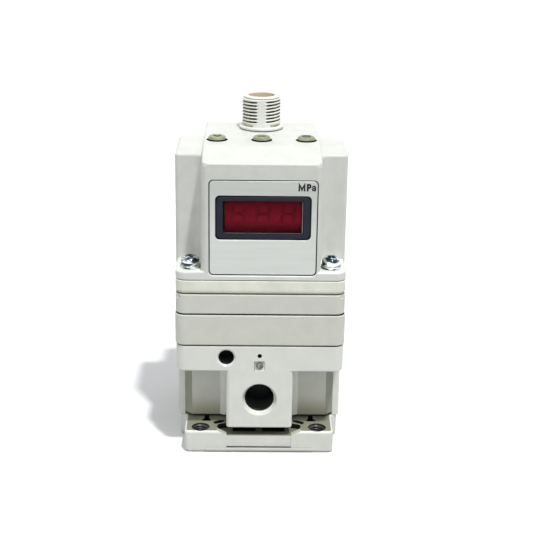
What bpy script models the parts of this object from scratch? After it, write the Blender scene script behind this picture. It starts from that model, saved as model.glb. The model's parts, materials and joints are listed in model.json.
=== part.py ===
"""Electro pneumatic regulator with a 50 mm body.

Bottom to top: base plate, cast valve body with four ports, pilot block, valve manifold,
board base and a hollow cover with a display, three push keys and a round plug connector.
Inside, a diaphragm pushes a hollow spring-loaded valve down to supply air, and lifts off it
to exhaust air. Two small solenoids set the pilot pressure above the diaphragm.

Metres, +Z up. The origin is the middle of the base plate's underside, and the front is -Y.
"""
import math

import bmesh
import bpy
from mathutils import Matrix, Vector

MM = 0.001

# Clearances
GAP = 0.3 * MM          # between neighbouring pieces, and across each joint line of the stack
SEAT = 0.1 * MM         # under screw heads and washers
OVERCUT = 1.0 * MM      # how far a cutter runs past the face it opens
WELD = 1.0 * MM         # how deep one form of a casting runs into the next

# Body in plan
BODY_WIDTH = 50.0 * MM
BODY_DEPTH = 50.0 * MM
BODY_CORNER = 2.6 * MM
EDGE_ROUND = 0.5 * MM

# Heights of the stack
PLATE_HEIGHT = 7.1 * MM
GASKET_THICKNESS = 0.6 * MM
VALVE_BODY_HEIGHT = 26.75 * MM
BAND_HEIGHT = 8.15 * MM
PILOT_HEIGHT = 9.6 * MM
MANIFOLD_HEIGHT = 6.0 * MM
BOARD_BASE_HEIGHT = 4.0 * MM
FLANGE_HEIGHT = 2.55 * MM
COVER_HEIGHT = 34.65 * MM
PLATEAU_RISE = 3.1 * MM

Z_GASKET = PLATE_HEIGHT + GAP
Z_BODY = Z_GASKET + GASKET_THICKNESS + GAP
Z_BODY_TOP = Z_BODY + VALVE_BODY_HEIGHT
Z_PILOT = Z_BODY_TOP + GAP
Z_MANIFOLD = Z_PILOT + PILOT_HEIGHT + GAP
Z_BOARD_BASE = Z_MANIFOLD + MANIFOLD_HEIGHT + GAP
Z_COVER = Z_BOARD_BASE + BOARD_BASE_HEIGHT + GAP
Z_FLANGE_TOP = Z_COVER + FLANGE_HEIGHT
Z_COVER_TOP = Z_COVER + COVER_HEIGHT
Z_PLATEAU = Z_COVER_TOP + PLATEAU_RISE

FRONT = -BODY_DEPTH / 2
REAR = BODY_DEPTH / 2

# Base plate
PLATE_CORNER_INSET = 2.3 * MM       # corner lugs stand this far inside the body's sides
PLATE_SIDE_INSET = 0.6 * MM
PLATE_ROUND = 1.4 * MM
CENTRE_MARGIN = 0.1 * MM            # low middle part of the edges, inside the front boss
CENTRE_DROP = 1.6 * MM
CENTRE_SETBACK = 0.4 * MM
CENTRE_REACH = 9.0 * MM
FOOT_RIB_HEIGHT = 1.3 * MM
FOOT_RIB_PROUD = 0.25 * MM
FOOT_RIB_INSET = 8.4 * MM
FOOT_RIB_HALF_WIDTH = BODY_WIDTH / 2 - FOOT_RIB_INSET
MOUNT_HOLE_RADIUS = 2.45 * MM
MOUNT_HOLE_INSET = 7.15 * MM        # hole centre to the side of the body
MOUNT_HOLE_X = BODY_WIDTH / 2 - MOUNT_HOLE_INSET
MOUNT_HOLE_EDGE = 2.95 * MM         # hole centre to the front or rear edge
POCKET_DEPTH = 2.2 * MM

# Valve body
BOSS_WIDTH = 20.0 * MM
CENTRE_HALF_WIDTH = BOSS_WIDTH / 2 - CENTRE_MARGIN
BOSS_ROUND = 1.2 * MM
CORNER_CHAMFER = 2.2 * MM
CORNER_FILLET = 2.5 * MM
PORT_Z = Z_BODY + 0.3813 * VALVE_BODY_HEIGHT
GAUGE_PORT_DROP = 0.8 * MM           # its axis below the side ports' axis
GAUGE_PORT_Z = PORT_Z - GAUGE_PORT_DROP
GAUGE_PORT_RADIUS = 4.3 * MM
GAUGE_PORT_DEPTH = 10.0 * MM
SIDE_PORT_RADIUS = 7.5 * MM
SIDE_PORT_DEPTH = 11.0 * MM
REAR_PORT_RADIUS = 5.7 * MM
REAR_PORT_DEPTH = 10.0 * MM
REAR_PORT_Z = Z_BODY + 0.3252 * VALVE_BODY_HEIGHT
COUNTERSINK = 0.9 * MM
PILOT_EXHAUST_X = -10.0 * MM
PILOT_EXHAUST_DROP = 3.75 * MM      # below the top of the body
PILOT_EXHAUST_Z = Z_BODY_TOP - PILOT_EXHAUST_DROP
PILOT_EXHAUST_RADIUS = 2.15 * MM
PILOT_EXHAUST_DEPTH = 6.3 * MM
WEEP_HOLE_RADIUS = 0.65 * MM
WEEP_HOLE_DROP = 3.05 * MM
WEEP_HOLE_Z = Z_BODY_TOP - WEEP_HOLE_DROP
SQUARE_RECESS = 3.1 * MM
SQUARE_RECESS_DROP = 6.35 * MM
SQUARE_RECESS_Z = Z_BODY_TOP - SQUARE_RECESS_DROP
SQUARE_RECESS_DEPTH = 0.5 * MM

# Air chambers on the valve axis
SEAT_RADIUS = 5.0 * MM
SEAT_WEB = 2.2 * MM
SEAT_Z = Z_BODY + 0.4187 * VALVE_BODY_HEIGHT    # top of the web that holds the seat
SEAT_LIP = 0.5 * MM
OUTLET_RADIUS = 9.0 * MM
PARTITION = 3.7 * MM
FEEDBACK_WALL = 6.0 * MM
FEEDBACK_RADIUS = min(BODY_WIDTH, BODY_DEPTH) / 2 - FEEDBACK_WALL
FEEDBACK_DEPTH = 3.15 * MM
GUIDE_RADIUS = 9.0 * MM
PASSAGE_RADIUS = 2.6 * MM
GAUGE_PASSAGE_RADIUS = 1.5 * MM
EXHAUST_DRILL_INSET = 3.0 * MM      # from the bottom of the rear port
EXHAUST_DRILL_Y = REAR - REAR_PORT_DEPTH + EXHAUST_DRILL_INSET
EXHAUST_DRILL_RADIUS = 2.0 * MM

# Moving parts of the main valve
VALVE_TRAVEL = 1.5 * MM
STEM_RADIUS = 3.0 * MM
VALVE_HEAD_RADIUS = 6.8 * MM
VALVE_HEAD_HEIGHT = 2.0 * MM
VALVE_TAIL_RADIUS = 2.8 * MM
VALVE_BORE_RADIUS = 1.6 * MM
GUIDE_FLOOR = 2.4 * MM
GUIDE_TUBE_WALL = 1.1 * MM
SPRING_WIRE_RADIUS = 0.35 * MM
SPRING_TURNS = 2.5
MEMBRANE = 0.6 * MM
MEMBRANE_SEAT_WIDTH = 2.5 * MM
CONVOLUTION = 1.6 * MM
DISC_MARGIN = 5.0 * MM
DISC_RADIUS = FEEDBACK_RADIUS - DISC_MARGIN
UPPER_DISC = 1.5 * MM
LOWER_DISC = 1.2 * MM
SPIGOT_RADIUS = 1.5 * MM
NUT_HEIGHT = 1.8 * MM
NUT_RADIUS = 3.2 * MM

# Stack layers
PILOT_PROUD = 0.2 * MM              # the pilot block is slightly wider than its neighbours
PILOT_CHAMBER_HEIGHT = 5.6 * MM
LAYER_ROUND = 0.45 * MM
BOARD_BASE_ROUND = 1.2 * MM
NOTCH = 1.2 * MM
SEAL_INSET = 8.0 * MM                # seals of the lower layers, inside their sides
SEAL_WIDTH = 1.8 * MM
SEAL_CORNER = 4.0 * MM
SEAL_GROOVE = 1.3 * MM
SEAL_SIDE_GAP = 0.2 * MM
COVER_SEAL_WIDTH = 1.0 * MM
AIR_HOLE_RADIUS = 0.8 * MM

# Cover
WALL = 2.0 * MM
FLANGE_CORNER = 3.0 * MM
COLUMN_INSET = 7.5 * MM             # column's sides to the body's sides
COLUMN_WIDTH = BODY_WIDTH - 2 * COLUMN_INSET
COLUMN_CORNER = 2.0 * MM
WING_PROUD = 0.45 * MM
WING_CORNER = 1.4 * MM
POCKET_FILLET = 3.0 * MM
COVER_DRAFT = 0.25 * MM
COVER_ROUND = 0.9 * MM
FRONT_SHOULDER = 9.3 * MM
REAR_SHOULDER = 6.5 * MM
PLATEAU_CORNER = 2.0 * MM
CROWN_SETBACK = 0.65 * MM           # ends of the raised middle to the body's front and rear
CROWN_DROP = 0.37 * MM              # those ends below the wings' tops
CROWN_EDGE = 0.6 * MM
CROWN_LEDGE = 0.05 * MM             # its sides inside the column's sides

# Label field and display in the front of the cover
LABEL_MARGIN = 2.1 * MM
LABEL_WIDTH = COLUMN_WIDTH - 2 * LABEL_MARGIN
LABEL_HEIGHT = 28.5 * MM
LABEL_LIFT = 1.75 * MM
LABEL_Z = Z_COVER + LABEL_LIFT
LABEL_CORNER = 1.0 * MM
LABEL_THICKNESS = 0.4 * MM
LABEL_SHIFT = 0.5 * MM              # label and display stand that far to the right of the middle
LABEL_RECESS = 0.8 * MM
BEZEL_MARGIN = 1.5 * MM             # to the label's sides
BEZEL_LIFT = 10.8 * MM              # above the label's bottom edge
BEZEL_DROP = 5.1 * MM               # below its top edge
BEZEL_WIDTH = LABEL_WIDTH - 2 * BEZEL_MARGIN
BEZEL_HEIGHT = LABEL_HEIGHT - BEZEL_LIFT - BEZEL_DROP
BEZEL_Z = LABEL_Z + BEZEL_LIFT
BEZEL_CORNER = 1.0 * MM
BEZEL_DEPTH = 3.4 * MM
WINDOW_SIDE = 2.3 * MM              # width of the frame round the window
WINDOW_EDGE = 1.3 * MM
WINDOW_WIDTH = BEZEL_WIDTH - 2 * WINDOW_SIDE
WINDOW_HEIGHT = BEZEL_HEIGHT - 2 * WINDOW_EDGE
WINDOW_THICKNESS = 1.2 * MM
WINDOW_RECESS = 0.5 * MM
LED_DEPTH = 4.4 * MM
DIGIT_COUNT = 3

# Push keys
KEY_INSET = 4.3 * MM
KEY_PITCH = COLUMN_WIDTH / 2 - KEY_INSET
KEY_Y = -7.0 * MM
KEY_RADIUS = 2.85 * MM
KEY_RISE = 1.4 * MM
KEY_TRAVEL = 0.5 * MM
KEY_COLLAR = 0.5 * MM
KEY_COLLAR_HEIGHT = 1.0 * MM
SWITCH_SIZE = 6.0 * MM
SWITCH_HEIGHT = 3.5 * MM
SWITCH_BUTTON_RADIUS = 1.7 * MM
SWITCH_BUTTON_RISE = 1.0 * MM
SWITCH_CLEARANCE = 0.2 * MM
WING_HALF_DEPTH = SWITCH_SIZE / 2 + SWITCH_CLEARANCE + WALL - KEY_Y    # the wings cover the switches

# Plug connector
CONNECTOR_INSET = 15.0 * MM
CONNECTOR_Y = REAR - CONNECTOR_INSET
THREAD_RADIUS = 6.0 * MM
THREAD_DEPTH = 0.55 * MM
BARREL_RISE = 10.4 * MM
BARREL_LIP = 0.9 * MM
COLLAR_RADIUS = 6.9 * MM
COLLAR_RISE = 1.1 * MM
BARREL_BORE = 4.0 * MM
INSERT_TOP = 3.0 * MM               # top of the pin carrier above the plateau
PIN_RADIUS = 0.5 * MM
PIN_CLEARANCE = 0.15 * MM
PIN_CIRCLE = 2.5 * MM
PIN_RISE = 5.0 * MM
NUT_ACROSS = 15.0 * MM
CONNECTOR_NUT_HEIGHT = 2.6 * MM
CONNECTOR_SEAL_RADIUS = 0.4 * MM

# Boards and what they carry
BOARD_THICKNESS = 1.6 * MM
CONTROL_BOARD_MARGIN = 0.7 * MM     # to the inside of the column
CONTROL_BOARD_WIDTH = COLUMN_WIDTH - 2 * (WALL + CONTROL_BOARD_MARGIN)
KEY_BOARD_MARGIN = 0.9 * MM         # key board to the inside of the cover
KEY_BOARD_LEAD = 4.0 * MM           # its front edge, in front of the keys
KEY_BOARD_TAIL_INSET = 6.5 * MM
KEY_BOARD_TAIL_Y = REAR - KEY_BOARD_TAIL_INSET
POST_RADIUS = 2.2 * MM
POST_INSET = 5.4 * MM
POST_X = BODY_WIDTH / 2 - POST_INSET
BOARD_SCREW_RADIUS = 1.0 * MM
BOARD_RAIL = 3.0 * MM
BOARD_RAIL_HEIGHT = 7.0 * MM

# Pilot solenoids and sensor
SOLENOID_X = 0.2 * BODY_WIDTH         # a share, so that both keep clear of the walls
SOLENOID_Y = 3.7 * MM
SOLENOID_WIDTH = 10.0 * MM
SOLENOID_DEPTH = 12.4 * MM
SOLENOID_BLOCK = 7.0 * MM
COIL_RADIUS = 4.6 * MM
COIL_HEIGHT = 12.0 * MM
PLUNGER_RADIUS = 1.5 * MM
PLUNGER_LENGTH = 11.0 * MM
PLUNGER_TRAVEL = 0.4 * MM
SENSOR_CLEARANCE = 3.0 * MM         # behind the control board
SENSOR_RADIUS = 3.6 * MM
SENSOR_HEIGHT = 5.0 * MM

# Screws
SCREW_INSET_X = 4.3 * MM            # to the body's sides
SCREW_INSET_Y = 4.8 * MM            # to its front and rear
SCREW_X = BODY_WIDTH / 2 - SCREW_INSET_X
SCREW_Y = BODY_DEPTH / 2 - SCREW_INSET_Y
SCREW_RADIUS = 1.5 * MM
SCREW_HEAD_RADIUS = 2.7 * MM
SCREW_HEAD_HEIGHT = 2.0 * MM
WASHER_RADIUS = 2.9 * MM
WASHER_THICKNESS = 0.8 * MM
SCREW_GRIP = 5.0 * MM               # thread length in the valve body
BASE_SCREW_INSET = 5.6 * MM
BASE_SCREW_X = BODY_WIDTH / 2 - BASE_SCREW_INSET
BASE_SCREW_CLEARANCE = 2.8 * MM     # to the bore of the side port
BASE_SCREW_Y = SIDE_PORT_RADIUS + BASE_SCREW_CLEARANCE
CORNER_WALL = 4.7 * MM              # from the screw to the body's recessed corner face
CORNER_FACE_Y = BASE_SCREW_Y + CORNER_WALL
SIDE_STEP = 2.0 * MM                # from that face to the wider side boss
SIDE_BOSS_HALF_DEPTH = CORNER_FACE_Y - SIDE_STEP
BASE_SCREW_RADIUS = 1.5 * MM
BASE_SCREW_HEAD_RADIUS = 3.0 * MM
BASE_SCREW_HEAD_HEIGHT = 1.8 * MM
BASE_SCREW_GRIP = 9.0 * MM

FINE = 24       # sides of a large round form that shows
MEDIUM = 16     # sides of a smaller one, such as a key or a screw head
COARSE = 12     # sides of a round form that is hidden
SMALL = 8       # sides of a small hole or pin

# Linear base colour, roughness and metallic value of each finish
FINISHES = {
    "ivory_cover": ((0.74, 0.75, 0.70), 0.45, 0.0),
    "ivory_base": ((0.66, 0.67, 0.56), 0.5, 0.0),
    "grey_beige": ((0.50, 0.51, 0.45), 0.5, 0.0),
    "cast_paint": ((0.62, 0.63, 0.58), 0.45, 0.0),
    "plate_paint": ((0.58, 0.59, 0.54), 0.45, 0.0),
    "label_film": ((0.60, 0.62, 0.60), 0.35, 0.0),
    "bezel_plastic": ((0.035, 0.037, 0.055), 0.3, 0.0),
    "red_window": ((0.16, 0.01, 0.02), 0.1, 0.0),
    "display_grey": ((0.20, 0.20, 0.21), 0.5, 0.0),
    "key_rubber": ((0.30, 0.34, 0.23), 0.6, 0.0),
    "pin_carrier": ((0.60, 0.46, 0.33), 0.5, 0.0),
    "gold_contact": ((0.80, 0.58, 0.25), 0.25, 1.0),
    "zinc_screw": ((0.62, 0.65, 0.68), 0.25, 1.0),
    "black_rubber": ((0.02, 0.02, 0.02), 0.7, 0.0),
    "board_green": ((0.03, 0.16, 0.07), 0.4, 0.0),
    "black_plastic": ((0.03, 0.03, 0.03), 0.5, 0.0),
    "bright_steel": ((0.55, 0.55, 0.56), 0.3, 1.0),
    "brass": ((0.70, 0.50, 0.22), 0.3, 1.0),
    "cutter": ((0.8, 0.1, 0.1), 0.5, 0.0),
}


def finish(name):
    """The Principled material of one finish, made once."""
    if name in bpy.data.materials:
        return bpy.data.materials[name]
    colour, roughness, metallic = FINISHES[name]
    material = bpy.data.materials.new(name)
    material.use_nodes = True
    shader = material.node_tree.nodes["Principled BSDF"]
    shader.inputs["Base Color"].default_value = (*colour, 1.0)
    shader.inputs["Roughness"].default_value = roughness
    shader.inputs["Metallic"].default_value = metallic
    material.diffuse_color = (*colour, 1.0)
    return material


def add(name, form, look, at=(0.0, 0.0, 0.0), towards=None, parent=None, smooth=32.0):
    """An object from a bmesh; its local +Z can be turned to point towards a direction."""
    bmesh.ops.recalc_face_normals(form, faces=form.faces)
    mesh = bpy.data.meshes.new(name)
    form.to_mesh(mesh)
    form.free()
    mesh.shade_smooth()
    mesh.set_sharp_from_angle(angle=math.radians(smooth))
    mesh.materials.append(finish(look))
    piece = bpy.data.objects.new(name, mesh)
    bpy.context.collection.objects.link(piece)
    piece.location = at
    if towards is not None:
        turn = Vector((0.0, 0.0, 1.0)).rotation_difference(Vector(towards))
        piece.rotation_euler = turn.to_euler()
    if parent is not None:
        piece.parent = parent
        piece.location = Vector(at) - parent.location
    return piece


def axis_empty(name, at):
    """An empty on a joint's axis, for the pieces that move together."""
    empty = bpy.data.objects.new(name, None)
    empty.empty_display_size = 5.0 * MM
    empty.location = at
    bpy.context.collection.objects.link(empty)
    return empty


def boolean(piece, tool, operation):
    """A live Boolean with a tool object that is itself only a guide."""
    step = piece.modifiers.new(tool.name, "BOOLEAN")
    step.operation = operation
    step.object = tool
    tool.hide_render = True
    tool.display_type = "WIRE"
    tool.hide_set(True)
    return piece


def cut(piece, *tools):
    for tool in tools:
        boolean(piece, tool, "DIFFERENCE")
    return piece


def weld(piece, *tools):
    for tool in tools:
        boolean(piece, tool, "UNION")
    return piece


def fillet(corners, steps=3):
    """Outline from (x, y, radius) corners, each turned into an arc tangent to its two sides."""
    outline = []
    for index, (x, y, radius) in enumerate(corners):
        corner = Vector((x, y))
        before = (Vector(corners[index - 1][:2]) - corner).normalized()
        after = (Vector(corners[(index + 1) % len(corners)][:2]) - corner).normalized()
        if radius <= 0.0:
            outline.append(corner)
            continue
        half = before.angle(after) / 2
        centre = corner + (before + after).normalized() * (radius / math.sin(half))
        start = corner + before * (radius / math.tan(half)) - centre
        end = corner + after * (radius / math.tan(half)) - centre
        sweep = math.atan2(start.x * end.y - start.y * end.x, start.dot(end))
        for step in range(steps + 1):
            angle = sweep * step / steps
            outline.append(centre + Vector((
                start.x * math.cos(angle) - start.y * math.sin(angle),
                start.x * math.sin(angle) + start.y * math.cos(angle),
            )))
    return outline


def four_fold(quadrant):
    """The corners of the +X +Y quadrant, mirrored into all four, anticlockwise."""
    back = list(reversed(quadrant))
    return (
        quadrant
        + [(-x, y, radius) for x, y, radius in back]
        + [(-x, -y, radius) for x, y, radius in quadrant]
        + [(x, -y, radius) for x, y, radius in back]
    )


def rectangle(width, depth, radius=0.0, centre=(0.0, 0.0)):
    """Rounded rectangle outline, anticlockwise."""
    x, y = centre
    return fillet([
        (x + width / 2, y + depth / 2, radius),
        (x - width / 2, y + depth / 2, radius),
        (x - width / 2, y - depth / 2, radius),
        (x + width / 2, y - depth / 2, radius),
    ])


def inset(outline, distance):
    """Each point moved inwards so that every side moves in by the distance."""
    moved = []
    for index, point in enumerate(outline):
        before = (point - outline[index - 1]).normalized()
        after = (outline[(index + 1) % len(outline)] - point).normalized()
        normal_before = Vector((-before.y, before.x))
        normal_after = Vector((-after.y, after.x))
        middle = (normal_before + normal_after).normalized()
        moved.append(point + middle * (distance / middle.dot(normal_after)))
    return moved


def loft(sections):
    """Closed form through rings of equal length, capped at both ends."""
    form = bmesh.new()
    rings = [[form.verts.new(point) for point in section] for section in sections]
    for lower, upper in zip(rings, rings[1:]):
        for index in range(len(lower)):
            beside = (index + 1) % len(lower)
            form.faces.new((lower[index], lower[beside], upper[beside], upper[index]))
    form.faces.new(list(reversed(rings[0])))
    form.faces.new(rings[-1])
    return form


def arc(share):
    """Sine and cosine at a share of a quarter turn."""
    angle = math.pi / 2 * share
    return math.sin(angle), math.cos(angle)


def slab(outline, bottom, top, round_bottom=0.0, round_top=0.0, draft=0.0, steps=2, upper=None):
    """An outline raised from bottom to top, with rounded edges and a draft towards the top.

    The top levels follow the upper outline, if there is one, of as many points.
    """
    levels = []
    if round_bottom > 0.0:
        for step in range(steps):
            sine, cosine = arc(step / steps)
            levels.append((round_bottom * (1 - sine), bottom + round_bottom * (1 - cosine)))
    levels.append((0.0, bottom + round_bottom))
    levels.append((draft, top - round_top))
    if round_top > 0.0:
        for step in range(1, steps + 1):
            sine, cosine = arc(step / steps)
            levels.append((draft + round_top * (1 - cosine), top - round_top * (1 - sine)))
    middle = (bottom + top) / 2
    return loft([
        [(p.x, p.y, z) for p in inset(upper if upper and z > middle else outline, distance)]
        for distance, z in levels
    ])


def lathe(profile, sides=COARSE, phase=0.0):
    """A profile of (radius, z) points turned about Z; ends on the axis close as poles.

    The phase turns the facets by a share of one side.
    """
    form = bmesh.new()
    rings = []
    for radius, z in profile:
        if radius <= 0.0:
            rings.append([form.verts.new((0.0, 0.0, z))])
            continue
        rings.append([
            form.verts.new((
                radius * math.cos(math.tau * (side + phase) / sides),
                radius * math.sin(math.tau * (side + phase) / sides),
                z,
            ))
            for side in range(sides)
        ])
    closed = profile[0][0] > 0.0
    pairs = list(zip(rings, rings[1:] + rings[:1])) if closed else list(zip(rings, rings[1:]))
    for lower, upper in pairs:
        for side in range(sides):
            beside = (side + 1) % sides
            corners = [
                lower[side % len(lower)],
                lower[beside % len(lower)],
                upper[beside % len(upper)],
                upper[side % len(upper)],
            ]
            form.faces.new(list(dict.fromkeys(corners)))
    return form


def rod(radius, bottom, top, sides=COARSE):
    return lathe([(0.0, bottom), (radius, bottom), (radius, top), (0.0, top)], sides)


def tube(inner, outer, bottom, top, sides=COARSE):
    return lathe([(inner, bottom), (outer, bottom), (outer, top), (inner, top)], sides)


def hex_nut(name, look, radii, bottom, top, at=(0.0, 0.0, 0.0), parent=None):
    """Hexagon with a round hole; radii are the hole's and the corners'."""
    inner, outer = radii
    nut = add(name, rod(outer, bottom, top, 6), look, at, parent=parent)
    hole = add(f"{name}_hole", rod(inner, bottom - OVERCUT, top + OVERCUT), "cutter", at, parent=parent)
    return cut(nut, hole)


def torus(radius, section, sides=COARSE, points=6):
    """A round seal ring about Z."""
    return lathe([
        (
            radius + section * math.cos(math.tau * point / points),
            section * math.sin(math.tau * point / points),
        )
        for point in range(points)
    ], sides)


def block(x0, x1, y0, y1, z0, z1):
    outline = [Vector((x1, y1)), Vector((x0, y1)), Vector((x0, y0)), Vector((x1, y0))]
    return slab(outline, z0, z1)


def bore(name, mouth, inward, radius, depth, countersink=0.0, sides=FINE):
    """Cutter for a blind hole from its mouth, with an optional 45 degree countersink.

    Its facets are turned by half a side, so that no edge of two crossing holes coincides.
    """
    profile = [(0.0, -OVERCUT)]
    if countersink > 0.0:
        profile += [(radius + countersink + OVERCUT, -OVERCUT), (radius, countersink)]
    else:
        profile += [(radius, -OVERCUT)]
    profile += [(radius, depth), (0.0, depth)]
    return add(name, lathe(profile, sides, 0.5), "cutter", mouth, inward)


def corners(x, y):
    """The four points at plus and minus x and y, with a number for each."""
    return list(enumerate([(-x, -y), (x, -y), (x, y), (-x, y)], start=1))


def body_outline(steps=2):
    """Valve body below its band: a cross of four bosses with recessed corners."""
    half_width = BODY_WIDTH / 2
    recess = CORNER_FACE_Y
    side_start = half_width - SIDE_STEP
    return fillet(four_fold([
        (half_width, SIDE_BOSS_HALF_DEPTH, 0.6 * MM),
        (side_start, SIDE_BOSS_HALF_DEPTH, 0.3 * MM),
        (side_start - CORNER_CHAMFER, recess, 0.6 * MM),
        (BOSS_WIDTH / 2, recess, CORNER_FILLET),
        (BOSS_WIDTH / 2, BODY_DEPTH / 2, BOSS_ROUND),
    ]), steps)


def plate_outline():
    """Base plate: four corner lugs and wider sides between them."""
    lug_x = BODY_WIDTH / 2 - PLATE_CORNER_INSET
    side_x = BODY_WIDTH / 2 - PLATE_SIDE_INSET
    return fillet(four_fold([
        (side_x, SIDE_BOSS_HALF_DEPTH, PLATE_ROUND),
        (lug_x, SIDE_BOSS_HALF_DEPTH, 0.5 * MM),
        (lug_x, BODY_DEPTH / 2, PLATE_ROUND),
    ]), steps=2)


def make_base_plate():
    form = slab(plate_outline(), 0.0, PLATE_HEIGHT, PLATE_ROUND * 0.6, PLATE_ROUND * 0.6, steps=1)
    plate = add("base_plate", form, "plate_paint")
    for side in (-1, 1):
        edge = side * BODY_DEPTH / 2
        rib = block(
            -FOOT_RIB_HALF_WIDTH, FOOT_RIB_HALF_WIDTH,
            min(edge + side * FOOT_RIB_PROUD, edge - side * WELD),
            max(edge + side * FOOT_RIB_PROUD, edge - side * WELD),
            FOOT_RIB_HEIGHT / 3, FOOT_RIB_HEIGHT,
        )
        weld(plate, add(f"foot_rib_{side}", rib, "cutter"))
        setback = block(
            -CENTRE_HALF_WIDTH, CENTRE_HALF_WIDTH,
            min(edge - side * CENTRE_SETBACK, edge + side * OVERCUT),
            max(edge - side * CENTRE_SETBACK, edge + side * OVERCUT),
            FOOT_RIB_HEIGHT + 0.1 * MM, PLATE_HEIGHT + OVERCUT,
        )
        cut(plate, add(f"centre_setback_{side}", setback, "cutter"))
        drop = slab(
            rectangle(2 * CENTRE_HALF_WIDTH, 2 * CENTRE_REACH, 2.0 * MM, (0.0, edge)),
            PLATE_HEIGHT - CENTRE_DROP, PLATE_HEIGHT + OVERCUT,
        )
        cut(plate, add(f"centre_drop_{side}", drop, "cutter"))
        for hand in (-1, 1):
            cut(plate, *plate_pockets(side, hand))
    for number, (x, y) in corners(MOUNT_HOLE_X, BODY_DEPTH / 2 - MOUNT_HOLE_EDGE):
        hole = rod(MOUNT_HOLE_RADIUS, -OVERCUT, PLATE_HEIGHT + OVERCUT, MEDIUM)
        cut(plate, add(f"mount_hole_{number}", hole, "cutter", (x, y, 0.0)))
    for number, (x, y) in corners(BASE_SCREW_X, BASE_SCREW_Y):
        shape = lathe([
            (0.0, -OVERCUT),
            (BASE_SCREW_HEAD_RADIUS + GAP, -OVERCUT),
            (BASE_SCREW_HEAD_RADIUS + GAP, 0.4 * MM),
            (BASE_SCREW_RADIUS + GAP, 0.4 * MM + BASE_SCREW_HEAD_HEIGHT),
            (BASE_SCREW_RADIUS + GAP, PLATE_HEIGHT + OVERCUT),
            (0.0, PLATE_HEIGHT + OVERCUT),
        ], SMALL)
        cut(plate, add(f"base_screw_hole_{number}", shape, "cutter", (x, y, 0.0)))
    width = 2 * EXHAUST_DRILL_RADIUS
    channel = slab(
        rectangle(width, EXHAUST_DRILL_Y + width / 2, width * 0.45, (0.0, EXHAUST_DRILL_Y / 2)),
        PLATE_HEIGHT - width, PLATE_HEIGHT + OVERCUT,
    )
    cut(plate, add("exhaust_channel", channel, "cutter"))


def plate_pockets(side, hand):
    """Cutters for the small pockets in one quarter of the plate's top."""
    edge = side * BODY_DEPTH / 2
    corner = BODY_WIDTH / 2
    floor = PLATE_HEIGHT - POCKET_DEPTH
    middle = slab(
        rectangle(7.0 * MM, 5.0 * MM, 0.0, (hand * 4.5 * MM, edge - side * 4.2 * MM)),
        floor - CENTRE_DROP, PLATE_HEIGHT,
    )
    wedge_points = [
        Vector((hand * (corner - 10.1 * MM), edge - side * 7.6 * MM)),
        Vector((hand * (corner - 7.5 * MM), edge - side * 7.6 * MM)),
        Vector((hand * (corner - 8.3 * MM), edge - side * 9.8 * MM)),
        Vector((hand * (corner - 9.4 * MM), edge - side * 9.8 * MM)),
    ]
    slot_points = [
        Vector((hand * (corner - 13.7 * MM), edge - side * 6.4 * MM)),
        Vector((hand * (corner - 11.4 * MM), edge - side * 4.6 * MM)),
        Vector((hand * (corner - 11.1 * MM), edge - side * 6.0 * MM)),
        Vector((hand * (corner - 12.8 * MM), edge - side * 7.4 * MM)),
    ]
    name = f"{side}_{hand}"
    return [
        add(f"middle_pocket_{name}", middle, "cutter"),
        add(f"wedge_pocket_{name}", slab(wedge_points, floor, PLATE_HEIGHT + OVERCUT), "cutter"),
        add(f"slot_pocket_{name}", slab(slot_points, floor, PLATE_HEIGHT + OVERCUT), "cutter"),
    ]


def make_base_gasket():
    gasket = add("base_gasket", slab(inset(body_outline(1), 0.5 * MM), 0.0, GASKET_THICKNESS),
                 "black_rubber", (0.0, 0.0, Z_GASKET))
    opening = rod(GUIDE_RADIUS + 2 * GAP, -OVERCUT, GASKET_THICKNESS + OVERCUT)
    cut(gasket, add("gasket_opening", opening, "cutter", (0.0, 0.0, Z_GASKET)))
    drill = rod(EXHAUST_DRILL_RADIUS, -OVERCUT, GASKET_THICKNESS + OVERCUT, SMALL)
    cut(gasket, add("gasket_exhaust_hole", drill, "cutter", (0.0, EXHAUST_DRILL_Y, Z_GASKET)))
    for number, (x, y) in corners(BASE_SCREW_X, BASE_SCREW_Y):
        hole = rod(BASE_SCREW_RADIUS + GAP, -OVERCUT, GASKET_THICKNESS + OVERCUT, SMALL)
        cut(gasket, add(f"gasket_hole_{number}", hole, "cutter", (x, y, Z_GASKET)))


def chamber_levels():
    """World heights of the chambers on the valve axis, bottom to top."""
    membrane_floor = Z_BODY_TOP - MEMBRANE - GAP
    feedback_floor = membrane_floor - FEEDBACK_DEPTH
    return SEAT_Z - SEAT_WEB, feedback_floor - PARTITION, feedback_floor, membrane_floor


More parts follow.
